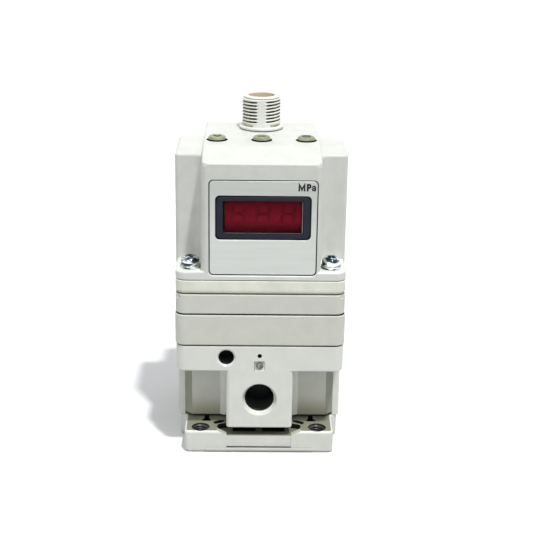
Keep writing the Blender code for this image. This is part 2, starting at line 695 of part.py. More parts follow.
def make_valve_body():
    top = Z_BODY_TOP
    band_z = top - BAND_HEIGHT
    lower = slab(body_outline(), Z_BODY, band_z + WELD, EDGE_ROUND, steps=1)
    body = add("valve_body", lower, "cast_paint")
    band = slab(rectangle(BODY_WIDTH, BODY_DEPTH, BODY_CORNER), band_z, top, EDGE_ROUND, LAYER_ROUND)
    weld(body, add("band", band, "cutter"))

    web_bottom, outlet_top, feedback_floor, membrane_floor = chamber_levels()
    supply = lathe([
        (0.0, Z_BODY - OVERCUT),
        (GUIDE_RADIUS + GAP, Z_BODY - OVERCUT),
        (GUIDE_RADIUS + GAP, web_bottom),
        (SEAT_RADIUS + SEAT_LIP, web_bottom),
        (SEAT_RADIUS + SEAT_LIP / 2, web_bottom - SEAT_LIP),
        (SEAT_RADIUS, web_bottom),
        (SEAT_RADIUS, SEAT_Z),
        (OUTLET_RADIUS, SEAT_Z),
        (OUTLET_RADIUS, outlet_top),
        (STEM_RADIUS + GAP, outlet_top),
        (STEM_RADIUS + GAP, feedback_floor),
        (FEEDBACK_RADIUS, feedback_floor),
        (FEEDBACK_RADIUS, membrane_floor),
        (FEEDBACK_RADIUS + MEMBRANE_SEAT_WIDTH + GAP, membrane_floor),
        (FEEDBACK_RADIUS + MEMBRANE_SEAT_WIDTH + GAP, top + OVERCUT),
        (0.0, top + OVERCUT),
    ], MEDIUM)
    cut(body, add("air_chambers", supply, "cutter"))

    side = BODY_WIDTH / 2
    supply_z = (web_bottom + Z_BODY + GUIDE_FLOOR) / 2 + PASSAGE_RADIUS * 0.7
    outlet_z = (SEAT_Z + outlet_top) / 2
    cut(
        body,
        bore("gauge_port", (0.0, FRONT, GAUGE_PORT_Z), (0, 1, 0), GAUGE_PORT_RADIUS, GAUGE_PORT_DEPTH,
             COUNTERSINK),
        bore("supply_port", (-side, 0.0, PORT_Z), (1, 0, 0), SIDE_PORT_RADIUS, SIDE_PORT_DEPTH, COUNTERSINK),
        bore("outlet_port", (side, 0.0, PORT_Z), (-1, 0, 0), SIDE_PORT_RADIUS, SIDE_PORT_DEPTH, COUNTERSINK),
        bore("exhaust_port", (0.0, REAR, REAR_PORT_Z), (0, -1, 0), REAR_PORT_RADIUS, REAR_PORT_DEPTH,
             COUNTERSINK),
        bore("pilot_exhaust", (PILOT_EXHAUST_X, FRONT, PILOT_EXHAUST_Z), (0, 1, 0),
             PILOT_EXHAUST_RADIUS, PILOT_EXHAUST_DEPTH, 0.5 * MM, 20),
        bore("weep_hole", (0.0, FRONT, WEEP_HOLE_Z), (0, 1, 0), WEEP_HOLE_RADIUS, 3.0 * MM, 0.0, SMALL),
        bore("exhaust_drill", (0.0, EXHAUST_DRILL_Y, Z_BODY), (0, 0, 1), EXHAUST_DRILL_RADIUS,
             REAR_PORT_Z - Z_BODY, 0.0, SMALL),
        passage("supply_passage", (-side + SIDE_PORT_DEPTH, supply_z), -1),
        passage("outlet_passage", (side - SIDE_PORT_DEPTH, outlet_z), 1),
        bore("gauge_passage", (0.0, FRONT + GAUGE_PORT_DEPTH, GAUGE_PORT_Z + GAUGE_PORT_RADIUS * 0.6), (0, 1, 0),
             GAUGE_PASSAGE_RADIUS, BODY_DEPTH / 2 - GAUGE_PORT_DEPTH - OUTLET_RADIUS + WELD, 0.0, SMALL),
    )
    recess = block(-SQUARE_RECESS / 2, SQUARE_RECESS / 2, FRONT - OVERCUT, FRONT + SQUARE_RECESS_DEPTH,
                   SQUARE_RECESS_Z - SQUARE_RECESS / 2, SQUARE_RECESS_Z + SQUARE_RECESS / 2)
    cut(body, add("square_recess", recess, "cutter"))
    for number, (x, y) in corners(SCREW_X, SCREW_Y):
        cut(body, bore(f"cover_screw_thread_{number}", (x, y, top), (0, 0, -1), SCREW_RADIUS + GAP,
                       SCREW_GRIP + GAP, 0.0, SMALL))
    for number, (x, y) in corners(BASE_SCREW_X, BASE_SCREW_Y):
        cut(body, bore(f"base_screw_thread_{number}", (x, y, Z_BODY), (0, 0, 1), BASE_SCREW_RADIUS + GAP,
                       BASE_SCREW_GRIP + GAP, 0.0, SMALL))


def passage(name, end, hand):
    """Drilling from the inner end of a side port to the chamber on the valve axis."""
    x, z = end
    reach = abs(x) - OUTLET_RADIUS + WELD
    return bore(name, (x, 0.0, z), (-hand, 0, 0), PASSAGE_RADIUS, reach, 0.0, SMALL)


def make_main_valve():
    """Hollow poppet below the seat, with the guide, spring and seal that carry it."""
    web_bottom = chamber_levels()[0]
    head_top = web_bottom - SEAT_LIP - GAP
    head_bottom = head_top - VALVE_HEAD_HEIGHT
    nose_top = SEAT_Z + 1.0 * MM
    guide_bottom = PLATE_HEIGHT + GAP
    floor_top = guide_bottom + GUIDE_FLOOR
    tube_top = head_bottom - VALVE_TRAVEL - GAP
    tail_bottom = guide_bottom + VALVE_TRAVEL + GAP

    carrier = axis_empty("valve_axis", (0.0, 0.0, head_top))
    poppet = lathe([
        (VALVE_BORE_RADIUS, tail_bottom - head_top),
        (VALVE_TAIL_RADIUS, tail_bottom - head_top),
        (VALVE_TAIL_RADIUS, head_bottom - head_top),
        (VALVE_HEAD_RADIUS, head_bottom - head_top),
        (VALVE_HEAD_RADIUS, -0.3 * MM),
        (VALVE_HEAD_RADIUS - 0.3 * MM, 0.0),
        (STEM_RADIUS, 0.0),
        (STEM_RADIUS, nose_top - head_top),
        (VALVE_BORE_RADIUS, nose_top - head_top),
    ])
    add("main_valve", poppet, "brass", (0.0, 0.0, head_top), parent=carrier)

    groove_z = guide_bottom + GUIDE_FLOOR / 2 + 0.9 * MM
    tube_inner = VALVE_TAIL_RADIUS + GAP
    tube_outer = tube_inner + GUIDE_TUBE_WALL
    groove = 1.0 * MM
    rim_top = groove_z + groove + 0.6 * MM
    guide = lathe([
        (tube_inner, guide_bottom),
        (GUIDE_RADIUS, guide_bottom),
        (GUIDE_RADIUS, groove_z - groove),
        (GUIDE_RADIUS - groove, groove_z - groove),
        (GUIDE_RADIUS - groove, groove_z + groove),
        (GUIDE_RADIUS, groove_z + groove),
        (GUIDE_RADIUS, rim_top),
        (GUIDE_RADIUS - groove - 0.8 * MM, rim_top),
        (GUIDE_RADIUS - groove - 0.8 * MM, floor_top),
        (tube_outer, floor_top),
        (tube_outer, tube_top),
        (tube_inner, tube_top),
    ])
    add("valve_guide", guide, "black_plastic")
    ring_section = groove / 2
    add("guide_o_ring", torus(GUIDE_RADIUS - groove + GAP / 2 + ring_section, ring_section),
        "black_rubber", (0.0, 0.0, groove_z))

    spring_radius = (tube_outer + GUIDE_RADIUS - groove - 0.8 * MM) / 2
    add("valve_spring", coil(spring_radius, floor_top + GAP, head_bottom - GAP), "bright_steel")

    return nose_top


def coil(radius, bottom, top):
    """Compression spring: a round wire swept along a helix between two heights."""
    per_turn = 12
    steps = int(SPRING_TURNS * per_turn)
    sections = []
    rise = (top - bottom - 2 * SPRING_WIRE_RADIUS) / steps
    pitch_angle = math.atan2(rise * per_turn, math.tau * radius)
    for step in range(steps + 1):
        angle = math.tau * step / per_turn
        outward = Vector((math.cos(angle), math.sin(angle), 0.0))
        along = Vector((-math.sin(angle), math.cos(angle), math.tan(pitch_angle))).normalized()
        up = outward.cross(along).normalized()
        centre = outward * radius + Vector((0.0, 0.0, bottom + SPRING_WIRE_RADIUS + rise * step))
        sections.append([
            centre + SPRING_WIRE_RADIUS * (
                outward * math.cos(math.tau * point / 5) + up * math.sin(math.tau * point / 5)
            )
            for point in range(5)
        ])
    return loft(sections)


def make_diaphragm(nose_top):
    """Membrane clamped under the pilot block, with its discs, stem and nut."""
    rim_bottom = Z_BODY_TOP - MEMBRANE
    rim_top = rim_bottom + MEMBRANE
    rim_radius = FEEDBACK_RADIUS + MEMBRANE_SEAT_WIDTH
    hole = SPIGOT_RADIUS + GAP
    steps = 4
    start = DISC_RADIUS + 0.8 * MM
    end = FEEDBACK_RADIUS - 0.8 * MM
    bump = [
        (start + (end - start) * step / steps, CONVOLUTION * math.sin(math.pi * step / steps))
        for step in range(steps + 1)
    ]
    profile = [(hole, rim_bottom)]
    profile += [(radius, rim_bottom + rise) for radius, rise in bump]
    profile += [(rim_radius, rim_bottom), (rim_radius, rim_top)]
    profile += [(radius, rim_top + rise) for radius, rise in reversed(bump)]
    profile += [(hole, rim_top)]
    add("diaphragm", lathe(profile, MEDIUM), "black_rubber")

    carrier = axis_empty("diaphragm_axis", (0.0, 0.0, rim_bottom))
    upper_bottom = rim_top + GAP
    upper = tube(hole, DISC_RADIUS, upper_bottom, upper_bottom + UPPER_DISC)
    add("upper_disc", upper, "bright_steel", parent=carrier)
    nut_bottom = upper_bottom + UPPER_DISC + GAP
    spigot_top = nut_bottom + NUT_HEIGHT + GAP
    disc_top = rim_bottom - GAP
    stem = lathe([
        (0.0, nose_top + GAP),
        (STEM_RADIUS, nose_top + GAP),
        (STEM_RADIUS, disc_top - LOWER_DISC),
        (DISC_RADIUS, disc_top - LOWER_DISC),
        (DISC_RADIUS, disc_top),
        (SPIGOT_RADIUS, disc_top),
        (SPIGOT_RADIUS, spigot_top),
        (0.0, spigot_top),
    ])
    add("diaphragm_stem", stem, "brass", parent=carrier)
    hex_nut("stem_nut", "bright_steel", (SPIGOT_RADIUS + SEAT, NUT_RADIUS),
            nut_bottom, nut_bottom + NUT_HEIGHT, parent=carrier)


def seal_ring(name, level, outline, width):
    """Seal cord in a groove below a level; the outline is a function of the distance inwards."""
    height = SEAL_GROOVE - GAP
    seat = (0.0, 0.0, level - SEAL_GROOVE + GAP)
    ring = add(name, slab(outline(0.0), 0.0, height), "black_rubber", seat)
    middle = slab(outline(width), -OVERCUT, height + OVERCUT)
    cut(ring, add(f"{name}_middle", middle, "cutter", seat))


def seal_groove(piece, name, level, outline, width):
    """A seal ring and its groove in the top face of a layer: a slot round a central land."""
    seal_ring(name, level, outline, width)
    slot = slab(outline(-SEAL_SIDE_GAP), level - SEAL_GROOVE, level + OVERCUT)
    land = slab(outline(width + SEAL_SIDE_GAP), level - SEAL_GROOVE - OVERCUT, level + 2 * OVERCUT)
    tool = add(f"{name}_slot", slot, "cutter")
    cut(tool, add(f"{name}_land", land, "cutter"))
    cut(piece, tool)


def layer_seal_outline(distance):
    """Square seal of the lower layers, moved inwards by a distance."""
    inwards = 2 * (SEAL_INSET + distance)
    return rectangle(BODY_WIDTH - inwards, BODY_DEPTH - inwards, SEAL_CORNER - distance)


def cover_seal_outline(distance):
    """Seal along the middle of the cover's wall, within the body's sides under the wings."""
    return cover_outline((WALL - COVER_SEAL_WIDTH) / 2 + distance, 1, -WING_PROUD)


def layer(name, look, bottom, height, proud=0.0, round_bottom=LAYER_ROUND, round_top=LAYER_ROUND):
    """One plate of the stack, with clearance holes for the four long cover screws."""
    outline = rectangle(BODY_WIDTH + 2 * proud, BODY_DEPTH + 2 * proud, BODY_CORNER)
    piece = add(name, slab(outline, bottom, bottom + height, round_bottom, round_top), look)
    for number, (x, y) in corners(SCREW_X, SCREW_Y):
        hole = rod(SCREW_RADIUS + GAP, bottom - OVERCUT, bottom + height + OVERCUT, SMALL)
        cut(piece, add(f"{name}_screw_hole_{number}", hole, "cutter", (x, y, 0.0)))
    return piece


def air_hole(piece, name, x, y, bottom, top):
    hole = rod(AIR_HOLE_RADIUS, bottom - OVERCUT, top + OVERCUT, SMALL)
    cut(piece, add(name, hole, "cutter", (x, y, 0.0)))


def make_layers():
    pilot = layer("pilot_block", "grey_beige", Z_PILOT, PILOT_HEIGHT, PILOT_PROUD)
    chamber = rod(FEEDBACK_RADIUS, Z_PILOT - OVERCUT, Z_PILOT + PILOT_CHAMBER_HEIGHT, MEDIUM)
    cut(pilot, add("pilot_chamber", chamber, "cutter"))
    seal_groove(pilot, "pilot_seal", Z_PILOT + PILOT_HEIGHT, layer_seal_outline, SEAL_WIDTH)

    manifold = layer("valve_manifold", "grey_beige", Z_MANIFOLD, MANIFOLD_HEIGHT)
    seal_groove(manifold, "manifold_seal", Z_MANIFOLD + MANIFOLD_HEIGHT, layer_seal_outline, SEAL_WIDTH)
    top = Z_MANIFOLD + MANIFOLD_HEIGHT
    for number, (x, y) in corners(BODY_WIDTH / 2, BODY_DEPTH / 2):
        notch = block(-NOTCH, NOTCH, -NOTCH, NOTCH, top - NOTCH, top + OVERCUT)
        cut(manifold, add(f"corner_notch_{number}", notch, "cutter", (x, y, 0.0)))

    base = layer("board_base", "ivory_base", Z_BOARD_BASE, BOARD_BASE_HEIGHT, 0.0, BOARD_BASE_ROUND)
    seal_groove(base, "cover_seal", Z_BOARD_BASE + BOARD_BASE_HEIGHT, cover_seal_outline, COVER_SEAL_WIDTH)
    for hand in (-1, 1):
        x = hand * SOLENOID_X
        air_hole(pilot, f"pilot_air_{hand}", x, SOLENOID_Y, Z_PILOT + PILOT_CHAMBER_HEIGHT, Z_MANIFOLD)
        air_hole(manifold, f"manifold_air_{hand}", x, SOLENOID_Y, Z_MANIFOLD, top)
        air_hole(base, f"base_air_{hand}", x, SOLENOID_Y, Z_BOARD_BASE, Z_COVER)
        weld(base, board_rail(hand))


def board_y():
    """Front face of the upright control board."""
    return FRONT + LABEL_RECESS + BEZEL_DEPTH + 2 * GAP + LED_DEPTH


def board_rail(hand):
    """Upright post with a slot that holds one lower corner of the control board."""
    y = board_y()
    outer = CONTROL_BOARD_WIDTH / 2 + GAP
    start = Z_BOARD_BASE + BOARD_BASE_HEIGHT - WELD
    post = block(-BOARD_RAIL, 0.0, -BOARD_RAIL / 2, BOARD_THICKNESS + BOARD_RAIL / 2, 0.0,
                 BOARD_RAIL_HEIGHT + WELD)
    x = outer if hand > 0 else -outer + BOARD_RAIL
    rail = add(f"board_rail_{hand}", post, "cutter", (x, y, start))
    slot = block(-BOARD_RAIL - OVERCUT, OVERCUT, -GAP, BOARD_THICKNESS + GAP, WELD + 1.0 * MM,
                 BOARD_RAIL_HEIGHT + WELD + OVERCUT)
    cut(rail, add(f"board_slot_{hand}", slot, "cutter", (x, y, start)))
    return rail


def cover_outline(wall=0.0, steps=3, lean=0.0):
    """Cover above its flange: a column front to back with a wing on each side."""
    column = COLUMN_WIDTH / 2 - wall
    wing_x = BODY_WIDTH / 2 + WING_PROUD + lean - wall
    wing_y = WING_HALF_DEPTH - wall
    return fillet(four_fold([
        (wing_x, wing_y, max(WING_CORNER - wall, 0.4 * MM)),
        (column, wing_y, POCKET_FILLET),
        (column, BODY_DEPTH / 2 - wall, max(COLUMN_CORNER - wall, 0.4 * MM)),
    ]), steps)


def crown_profile(wall=0.0):
    """Side profile of the raised middle of the cover's top, from rear to front."""
    end = CROWN_SETBACK if wall == 0.0 else wall
    low = Z_COVER_TOP - (CROWN_DROP if wall == 0.0 else wall)
    base = Z_COVER_TOP - WALL - wall
    return fillet([
        (FRONT + end, base, 0.0),
        (REAR - end, base, 0.0),
        (REAR - end, low, 0.0),
        (REAR - REAR_SHOULDER, Z_PLATEAU - wall, PLATEAU_CORNER),
        (FRONT + FRONT_SHOULDER, Z_PLATEAU - wall, PLATEAU_CORNER),
        (FRONT + end, low, 0.0),
    ])


def crown_form():
    """Raised middle: sections across it along its side profile, its corners rounded in plan."""
    top = [(p.x, p.y) for p in crown_profile() if p.y > Z_COVER_TOP - CROWN_DROP - WELD][::-1]
    half = COLUMN_WIDTH / 2 - COVER_DRAFT - CROWN_LEDGE
    reach = BODY_DEPTH / 2 - CROWN_SETBACK
    stations = [(y, half) for y, z in top if abs(y) < reach - COLUMN_CORNER]
    for step in range(4):
        sine, cosine = arc(step / 3)
        y = reach - COLUMN_CORNER * (1 - cosine)
        width = half - COLUMN_CORNER * (1 - sine)
        stations += [(-y, width), (y, width)]
    sections = []
    for y, width in sorted(stations):
        height = next(
            z0 + (z1 - z0) * (y - y0) / (y1 - y0)
            for (y0, z0), (y1, z1) in zip(top, top[1:]) if y <= y1 + CROWN_LEDGE)
        edge = []
        for step in range(3):
            sine, cosine = arc(step / 2)
            edge.append((width - CROWN_EDGE * (1 - cosine), y, height - CROWN_EDGE * (1 - sine)))
        left = [(-x, y, z) for x, y, z in reversed(edge)]
        base = Z_COVER_TOP - WALL
        sections.append([(-width, y, base), (width, y, base), *edge, *left])
    return loft(sections)


def crown_cavity():
    """The hollow under the raised middle, one wall inside it."""
    column = COLUMN_WIDTH / 2 - WALL
    return loft([[(x, p.x, p.y) for p in crown_profile(WALL)] for x in (-column, column)])


def make_cover():
    inner_top = Z_COVER_TOP - WALL
    flange = rectangle(BODY_WIDTH, BODY_DEPTH, FLANGE_CORNER)
    cover = add("cover", slab(flange, Z_COVER, Z_FLANGE_TOP, 0.0, EDGE_ROUND), "ivory_cover")
    upper = slab(cover_outline(), Z_COVER + WELD, Z_COVER_TOP, 0.0, COVER_ROUND, COVER_DRAFT,
                 upper=cover_outline(lean=COVER_DRAFT))
    weld(cover, add("cover_upper", upper, "cutter"), add("cover_crown", crown_form(), "cutter"))

    cavity = slab(cover_outline(WALL, 1), Z_COVER - OVERCUT, inner_top, 0.0, 0.0, COVER_DRAFT)
    cut(cover, add("cover_cavity", cavity, "cutter"), add("crown_cavity", crown_cavity(), "cutter"))

    label_centre = LABEL_Z + LABEL_HEIGHT / 2
    recess = slab(rectangle(LABEL_WIDTH + 2 * GAP, LABEL_HEIGHT + 2 * GAP, LABEL_CORNER),
                  -OVERCUT, LABEL_RECESS)
    opening = slab(rectangle(BEZEL_WIDTH + 2 * GAP, BEZEL_HEIGHT + 2 * GAP, BEZEL_CORNER), -OVERCUT,
                   WALL + 2 * OVERCUT)
    bezel_centre = BEZEL_Z + BEZEL_HEIGHT / 2
    cut(cover, front_tool("label_recess", recess, label_centre))
    cut(cover, front_tool("display_opening", opening, bezel_centre))

    for number, x in enumerate((-KEY_PITCH, 0.0, KEY_PITCH), start=1):
        cut(cover, bore(f"key_hole_{number}", (x, KEY_Y, Z_PLATEAU), (0, 0, -1), KEY_RADIUS + GAP,
                        WALL + OVERCUT, 0.0, MEDIUM))
        well = rod(KEY_RADIUS + KEY_COLLAR + GAP, Z_COVER_TOP - WALL - OVERCUT, Z_PLATEAU - WALL - GAP / 5)
        cut(cover, add(f"key_well_{number}", well, "cutter", (x, KEY_Y, 0.0)))
    cut(cover, bore("connector_hole", (0.0, CONNECTOR_Y, Z_PLATEAU), (0, 0, -1),
                    THREAD_RADIUS - THREAD_DEPTH + GAP, WALL + OVERCUT, 0.0, FINE))
    for number, (x, y) in corners(SCREW_X, SCREW_Y):
        hole = rod(SCREW_RADIUS + GAP, Z_COVER - OVERCUT, Z_FLANGE_TOP + OVERCUT, SMALL)
        cut(cover, add(f"cover_screw_hole_{number}", hole, "cutter", (x, y, 0.0)))
    for hand in (-1, 1):
        weld(cover, key_board_post(hand))


def key_board_post(hand):
    """Post under the wing's roof that the key board is screwed to."""
    bottom = key_board_top() + GAP
    post = add(f"key_board_post_{hand}", rod(POST_RADIUS, bottom, Z_COVER_TOP - WALL + WELD, SMALL), "cutter",
               (hand * POST_X, 0.0, 0.0))
    cut(post, bore(f"post_thread_{hand}", (hand * POST_X, 0.0, bottom), (0, 0, 1),
                   BOARD_SCREW_RADIUS + GAP / 2, 3.0 * MM, 0.0, SMALL))
    return post


def front_tool(name, form, height):
    """A form drawn in XY whose local +Z runs into the front of the cover."""
    bmesh.ops.transform(form, matrix=Matrix.Rotation(-math.pi / 2, 4, "X"), verts=form.verts)
    return add(name, form, "cutter", (LABEL_SHIFT, FRONT, height))


def make_display():
    label_centre = LABEL_Z + LABEL_HEIGHT / 2
    bezel_centre = BEZEL_Z + BEZEL_HEIGHT / 2
    label_back = LABEL_RECESS - GAP / 2
    plate = slab(rectangle(LABEL_WIDTH, LABEL_HEIGHT, LABEL_CORNER), label_back - LABEL_THICKNESS, label_back)
    label = front_piece("label_plate", plate, "label_film", label_centre)
    opening = slab(rectangle(BEZEL_WIDTH + 2 * GAP, BEZEL_HEIGHT + 2 * GAP, BEZEL_CORNER),
                   -OVERCUT, LABEL_RECESS + OVERCUT)
    cut(label, front_tool("label_opening", opening, bezel_centre))

    front = label_back - LABEL_THICKNESS
    frame = slab(rectangle(BEZEL_WIDTH, BEZEL_HEIGHT, BEZEL_CORNER), front, front + BEZEL_DEPTH, 0.2 * MM)
    bezel = front_piece("display_bezel", frame, "bezel_plastic", bezel_centre)
    sight = slab(rectangle(WINDOW_WIDTH, WINDOW_HEIGHT, 0.3 * MM),
                 front - OVERCUT, front + BEZEL_DEPTH + OVERCUT)
    cut(bezel, front_tool("display_sight", sight, bezel_centre))

    pane_front = front + WINDOW_RECESS
    pane = slab(rectangle(WINDOW_WIDTH - GAP, WINDOW_HEIGHT - GAP, 0.3 * MM), pane_front,
                pane_front + WINDOW_THICKNESS)
    front_piece("display_window", pane, "red_window", bezel_centre)

    module_front = pane_front + WINDOW_THICKNESS + GAP
    module_back = board_y() - FRONT - GAP
    module = slab(rectangle(WINDOW_WIDTH - 4 * GAP, WINDOW_HEIGHT - 4 * GAP, 0.3 * MM),
                  module_front, module_back)
    leds = front_piece("led_module", module, "display_grey", bezel_centre)
    digit_pitch = (WINDOW_WIDTH - 4 * GAP) / DIGIT_COUNT
    for digit in range(1, DIGIT_COUNT):
        x = LABEL_SHIFT - (WINDOW_WIDTH - 4 * GAP) / 2 + digit * digit_pitch
        front_y = FRONT + module_front
        groove = block(x - 0.2 * MM, x + 0.2 * MM, front_y - OVERCUT, front_y + 0.4 * MM,
                       bezel_centre - WINDOW_HEIGHT, bezel_centre + WINDOW_HEIGHT)
        cut(leds, add(f"digit_groove_{digit}", groove, "cutter"))


def front_piece(name, form, look, height):
    piece = front_tool(name, form, height)
    piece.data.materials.clear()
    piece.data.materials.append(finish(look))
    return piece


def key_board_top():
    """Top face of the key board: the switches above it just reach the keys."""
    collar_bottom = Z_PLATEAU - WALL - GAP - KEY_COLLAR_HEIGHT
    leg_bottom = collar_bottom - KEY_TRAVEL - 3 * GAP
    return leg_bottom - GAP - SWITCH_BUTTON_RISE - SWITCH_HEIGHT - GAP


def make_keys():
    board_top = key_board_top()
    names = ("down", "up", "set")
    for name, x in zip(names, (-KEY_PITCH, 0.0, KEY_PITCH)):
        carrier = axis_empty(f"key_{name}_axis", (x, KEY_Y, Z_PLATEAU))
        collar_top = -WALL - GAP
        collar_bottom = collar_top - KEY_COLLAR_HEIGHT
        leg_bottom = collar_bottom - KEY_TRAVEL - 3 * GAP
        shares = [arc(step / 3) for step in range(3)]
        dome = [(KEY_RADIUS * cosine ** 0.6, KEY_RISE * sine) for sine, cosine in shares]
        key = lathe(
            [(0.0, leg_bottom), (SWITCH_BUTTON_RADIUS, leg_bottom), (SWITCH_BUTTON_RADIUS, collar_bottom),
             (KEY_RADIUS + KEY_COLLAR, collar_bottom), (KEY_RADIUS + KEY_COLLAR, collar_top),
             (KEY_RADIUS, collar_top)] + dome + [(0.0, KEY_RISE)],
        )
        add(f"key_{name}", key, "key_rubber", (x, KEY_Y, Z_PLATEAU), parent=carrier)

        switch_z = board_top + GAP
        case = slab(rectangle(SWITCH_SIZE, SWITCH_SIZE, 0.5 * MM), switch_z, switch_z + SWITCH_HEIGHT)
        body = add(f"switch_{name}", case, "black_plastic", (x, KEY_Y, 0.0))
        well = 2.0 * MM
        cut(body, bore(f"switch_well_{name}", (x, KEY_Y, switch_z + SWITCH_HEIGHT), (0, 0, -1),
                       SWITCH_BUTTON_RADIUS + GAP, well, 0.0, SMALL))
        button_top = switch_z + SWITCH_HEIGHT + SWITCH_BUTTON_RISE
        button_bottom = switch_z + SWITCH_HEIGHT - well + KEY_TRAVEL + GAP
        button = rod(SWITCH_BUTTON_RADIUS, button_bottom - Z_PLATEAU, button_top - Z_PLATEAU, SMALL)
        add(f"switch_button_{name}", button, "bright_steel", (x, KEY_Y, Z_PLATEAU), parent=carrier)


def make_connector():
    centre = (0.0, CONNECTOR_Y, Z_PLATEAU)
    root_radius = THREAD_RADIUS - THREAD_DEPTH
    below = -WALL - GAP - CONNECTOR_NUT_HEIGHT - GAP
    seal_z = 2 * CONNECTOR_SEAL_RADIUS + GAP
    shell = lathe([
        (BARREL_BORE, below),
        (root_radius, below),
        (root_radius, GAP),
        (COLLAR_RADIUS - 3 * CONNECTOR_SEAL_RADIUS - 2 * GAP, GAP),
        (COLLAR_RADIUS - 3 * CONNECTOR_SEAL_RADIUS - 2 * GAP, seal_z),
        (COLLAR_RADIUS - GAP, seal_z),
        (COLLAR_RADIUS - GAP, GAP),
        (COLLAR_RADIUS, GAP),
        (COLLAR_RADIUS, COLLAR_RISE),
        (THREAD_RADIUS, COLLAR_RISE + 0.6 * MM),
        (THREAD_RADIUS, BARREL_RISE - BARREL_LIP - 0.5 * MM),
        (root_radius, BARREL_RISE - BARREL_LIP - 0.2 * MM),
        (root_radius, BARREL_RISE - BARREL_LIP),
        (THREAD_RADIUS - 0.4 * MM, BARREL_RISE - BARREL_LIP + 0.2 * MM),
        (THREAD_RADIUS - 0.9 * MM, BARREL_RISE - 0.2 * MM),
        (THREAD_RADIUS - 1.4 * MM, BARREL_RISE),
        (BARREL_BORE, BARREL_RISE - 0.2 * MM),
    ], FINE)
    add("connector_shell", shell, "ivory_cover", centre)
    ring_radius = COLLAR_RADIUS - GAP * 2 - CONNECTOR_SEAL_RADIUS
    add("connector_seal", torus(ring_radius, CONNECTOR_SEAL_RADIUS - SEAT), "black_rubber",
        (0.0, CONNECTOR_Y, Z_PLATEAU + CONNECTOR_SEAL_RADIUS + SEAT))

    nut_top = -WALL - GAP
    nut_radius = NUT_ACROSS / 2 / math.cos(math.pi / 6)
    hex_nut("connector_nut", "black_plastic", (root_radius + GAP, nut_radius), nut_top - CONNECTOR_NUT_HEIGHT,
            nut_top, centre)

    carrier_bottom = key_board_top() + GAP - Z_PLATEAU
    plug = rod(BARREL_BORE - GAP, carrier_bottom, INSERT_TOP)
    insert = add("connector_insert", plug, "pin_carrier", centre)
    for number in range(4):
        angle = math.pi / 4 + math.pi / 2 * number
        x = PIN_CIRCLE * math.cos(angle)
        y = CONNECTOR_Y + PIN_CIRCLE * math.sin(angle)
        hole = rod(PIN_RADIUS + PIN_CLEARANCE, carrier_bottom - OVERCUT, INSERT_TOP + OVERCUT, SMALL)
        cut(insert, add(f"pin_hole_{number}", hole, "cutter", (x, y, Z_PLATEAU)))
        tip = INSERT_TOP + PIN_RISE
        pin = lathe([
            (0.0, carrier_bottom - BOARD_THICKNESS - 1.5 * MM),
            (PIN_RADIUS, carrier_bottom - BOARD_THICKNESS - 1.5 * MM),
            (PIN_RADIUS, tip - 0.4 * MM),
            (PIN_RADIUS * 0.5, tip),
            (0.0, tip),
        ], SMALL)
        add(f"contact_pin_{number + 1}", pin, "gold_contact", (x, y, Z_PLATEAU))


def make_boards():
    y = board_y()
    bottom = Z_COVER + 1.0 * MM + GAP
    half = CONTROL_BOARD_WIDTH / 2
    board_top = key_board_top() - BOARD_THICKNESS - GAP
    board = block(-half, half, y, y + BOARD_THICKNESS, bottom, board_top)
    add("control_board", board, "board_green")

    top = key_board_top()
    wide = POST_X + POST_RADIUS
    wing = WING_HALF_DEPTH - WALL - KEY_BOARD_MARGIN
    middle = COLUMN_WIDTH / 2 - WALL - KEY_BOARD_MARGIN
    outline = fillet([
        (wide, -wing, 0.5 * MM),
        (wide, wing, 0.5 * MM),
        (middle, wing, 0.5 * MM),
        (middle, KEY_BOARD_TAIL_Y, 0.5 * MM),
        (-middle, KEY_BOARD_TAIL_Y, 0.5 * MM),
        (-middle, wing, 0.5 * MM),
        (-wide, wing, 0.5 * MM),
        (-wide, -wing, 0.5 * MM),
        (-middle, -wing, 0.5 * MM),
        (-middle, KEY_Y - KEY_BOARD_LEAD, 0.5 * MM),
        (middle, KEY_Y - KEY_BOARD_LEAD, 0.5 * MM),
        (middle, -wing, 0.5 * MM),
    ], steps=1)
    key_board = add("key_board", slab(outline, top - BOARD_THICKNESS, top), "board_green")
    for number in range(4):
        angle = math.pi / 4 + math.pi / 2 * number
        hole = rod(PIN_RADIUS + PIN_CLEARANCE, top - BOARD_THICKNESS - OVERCUT, top + OVERCUT, SMALL)
        cut(key_board, add(f"board_pin_hole_{number}", hole, "cutter",
                           (PIN_CIRCLE * math.cos(angle), CONNECTOR_Y + PIN_CIRCLE * math.sin(angle), 0.0)))
    for number, hand in enumerate((-1, 1), start=1):
        hole = rod(BOARD_SCREW_RADIUS + GAP, top - BOARD_THICKNESS - OVERCUT, top + OVERCUT, SMALL)
        cut(key_board, add(f"board_screw_hole_{number}", hole, "cutter", (hand * POST_X, 0.0, 0.0)))
        head_top = top - BOARD_THICKNESS - SEAT
        screw = lathe([
            (0.0, head_top - 1.2 * MM),
            (1.6 * MM, head_top - 1.2 * MM),
            (1.9 * MM, head_top - 0.6 * MM),
            (1.9 * MM, head_top),
            (BOARD_SCREW_RADIUS, head_top),
            (BOARD_SCREW_RADIUS, top + 2.6 * MM),
            (0.0, top + 2.6 * MM),
        ], SMALL)
        add(f"board_screw_{number}", screw, "zinc_screw", (hand * POST_X, 0.0, 0.0))


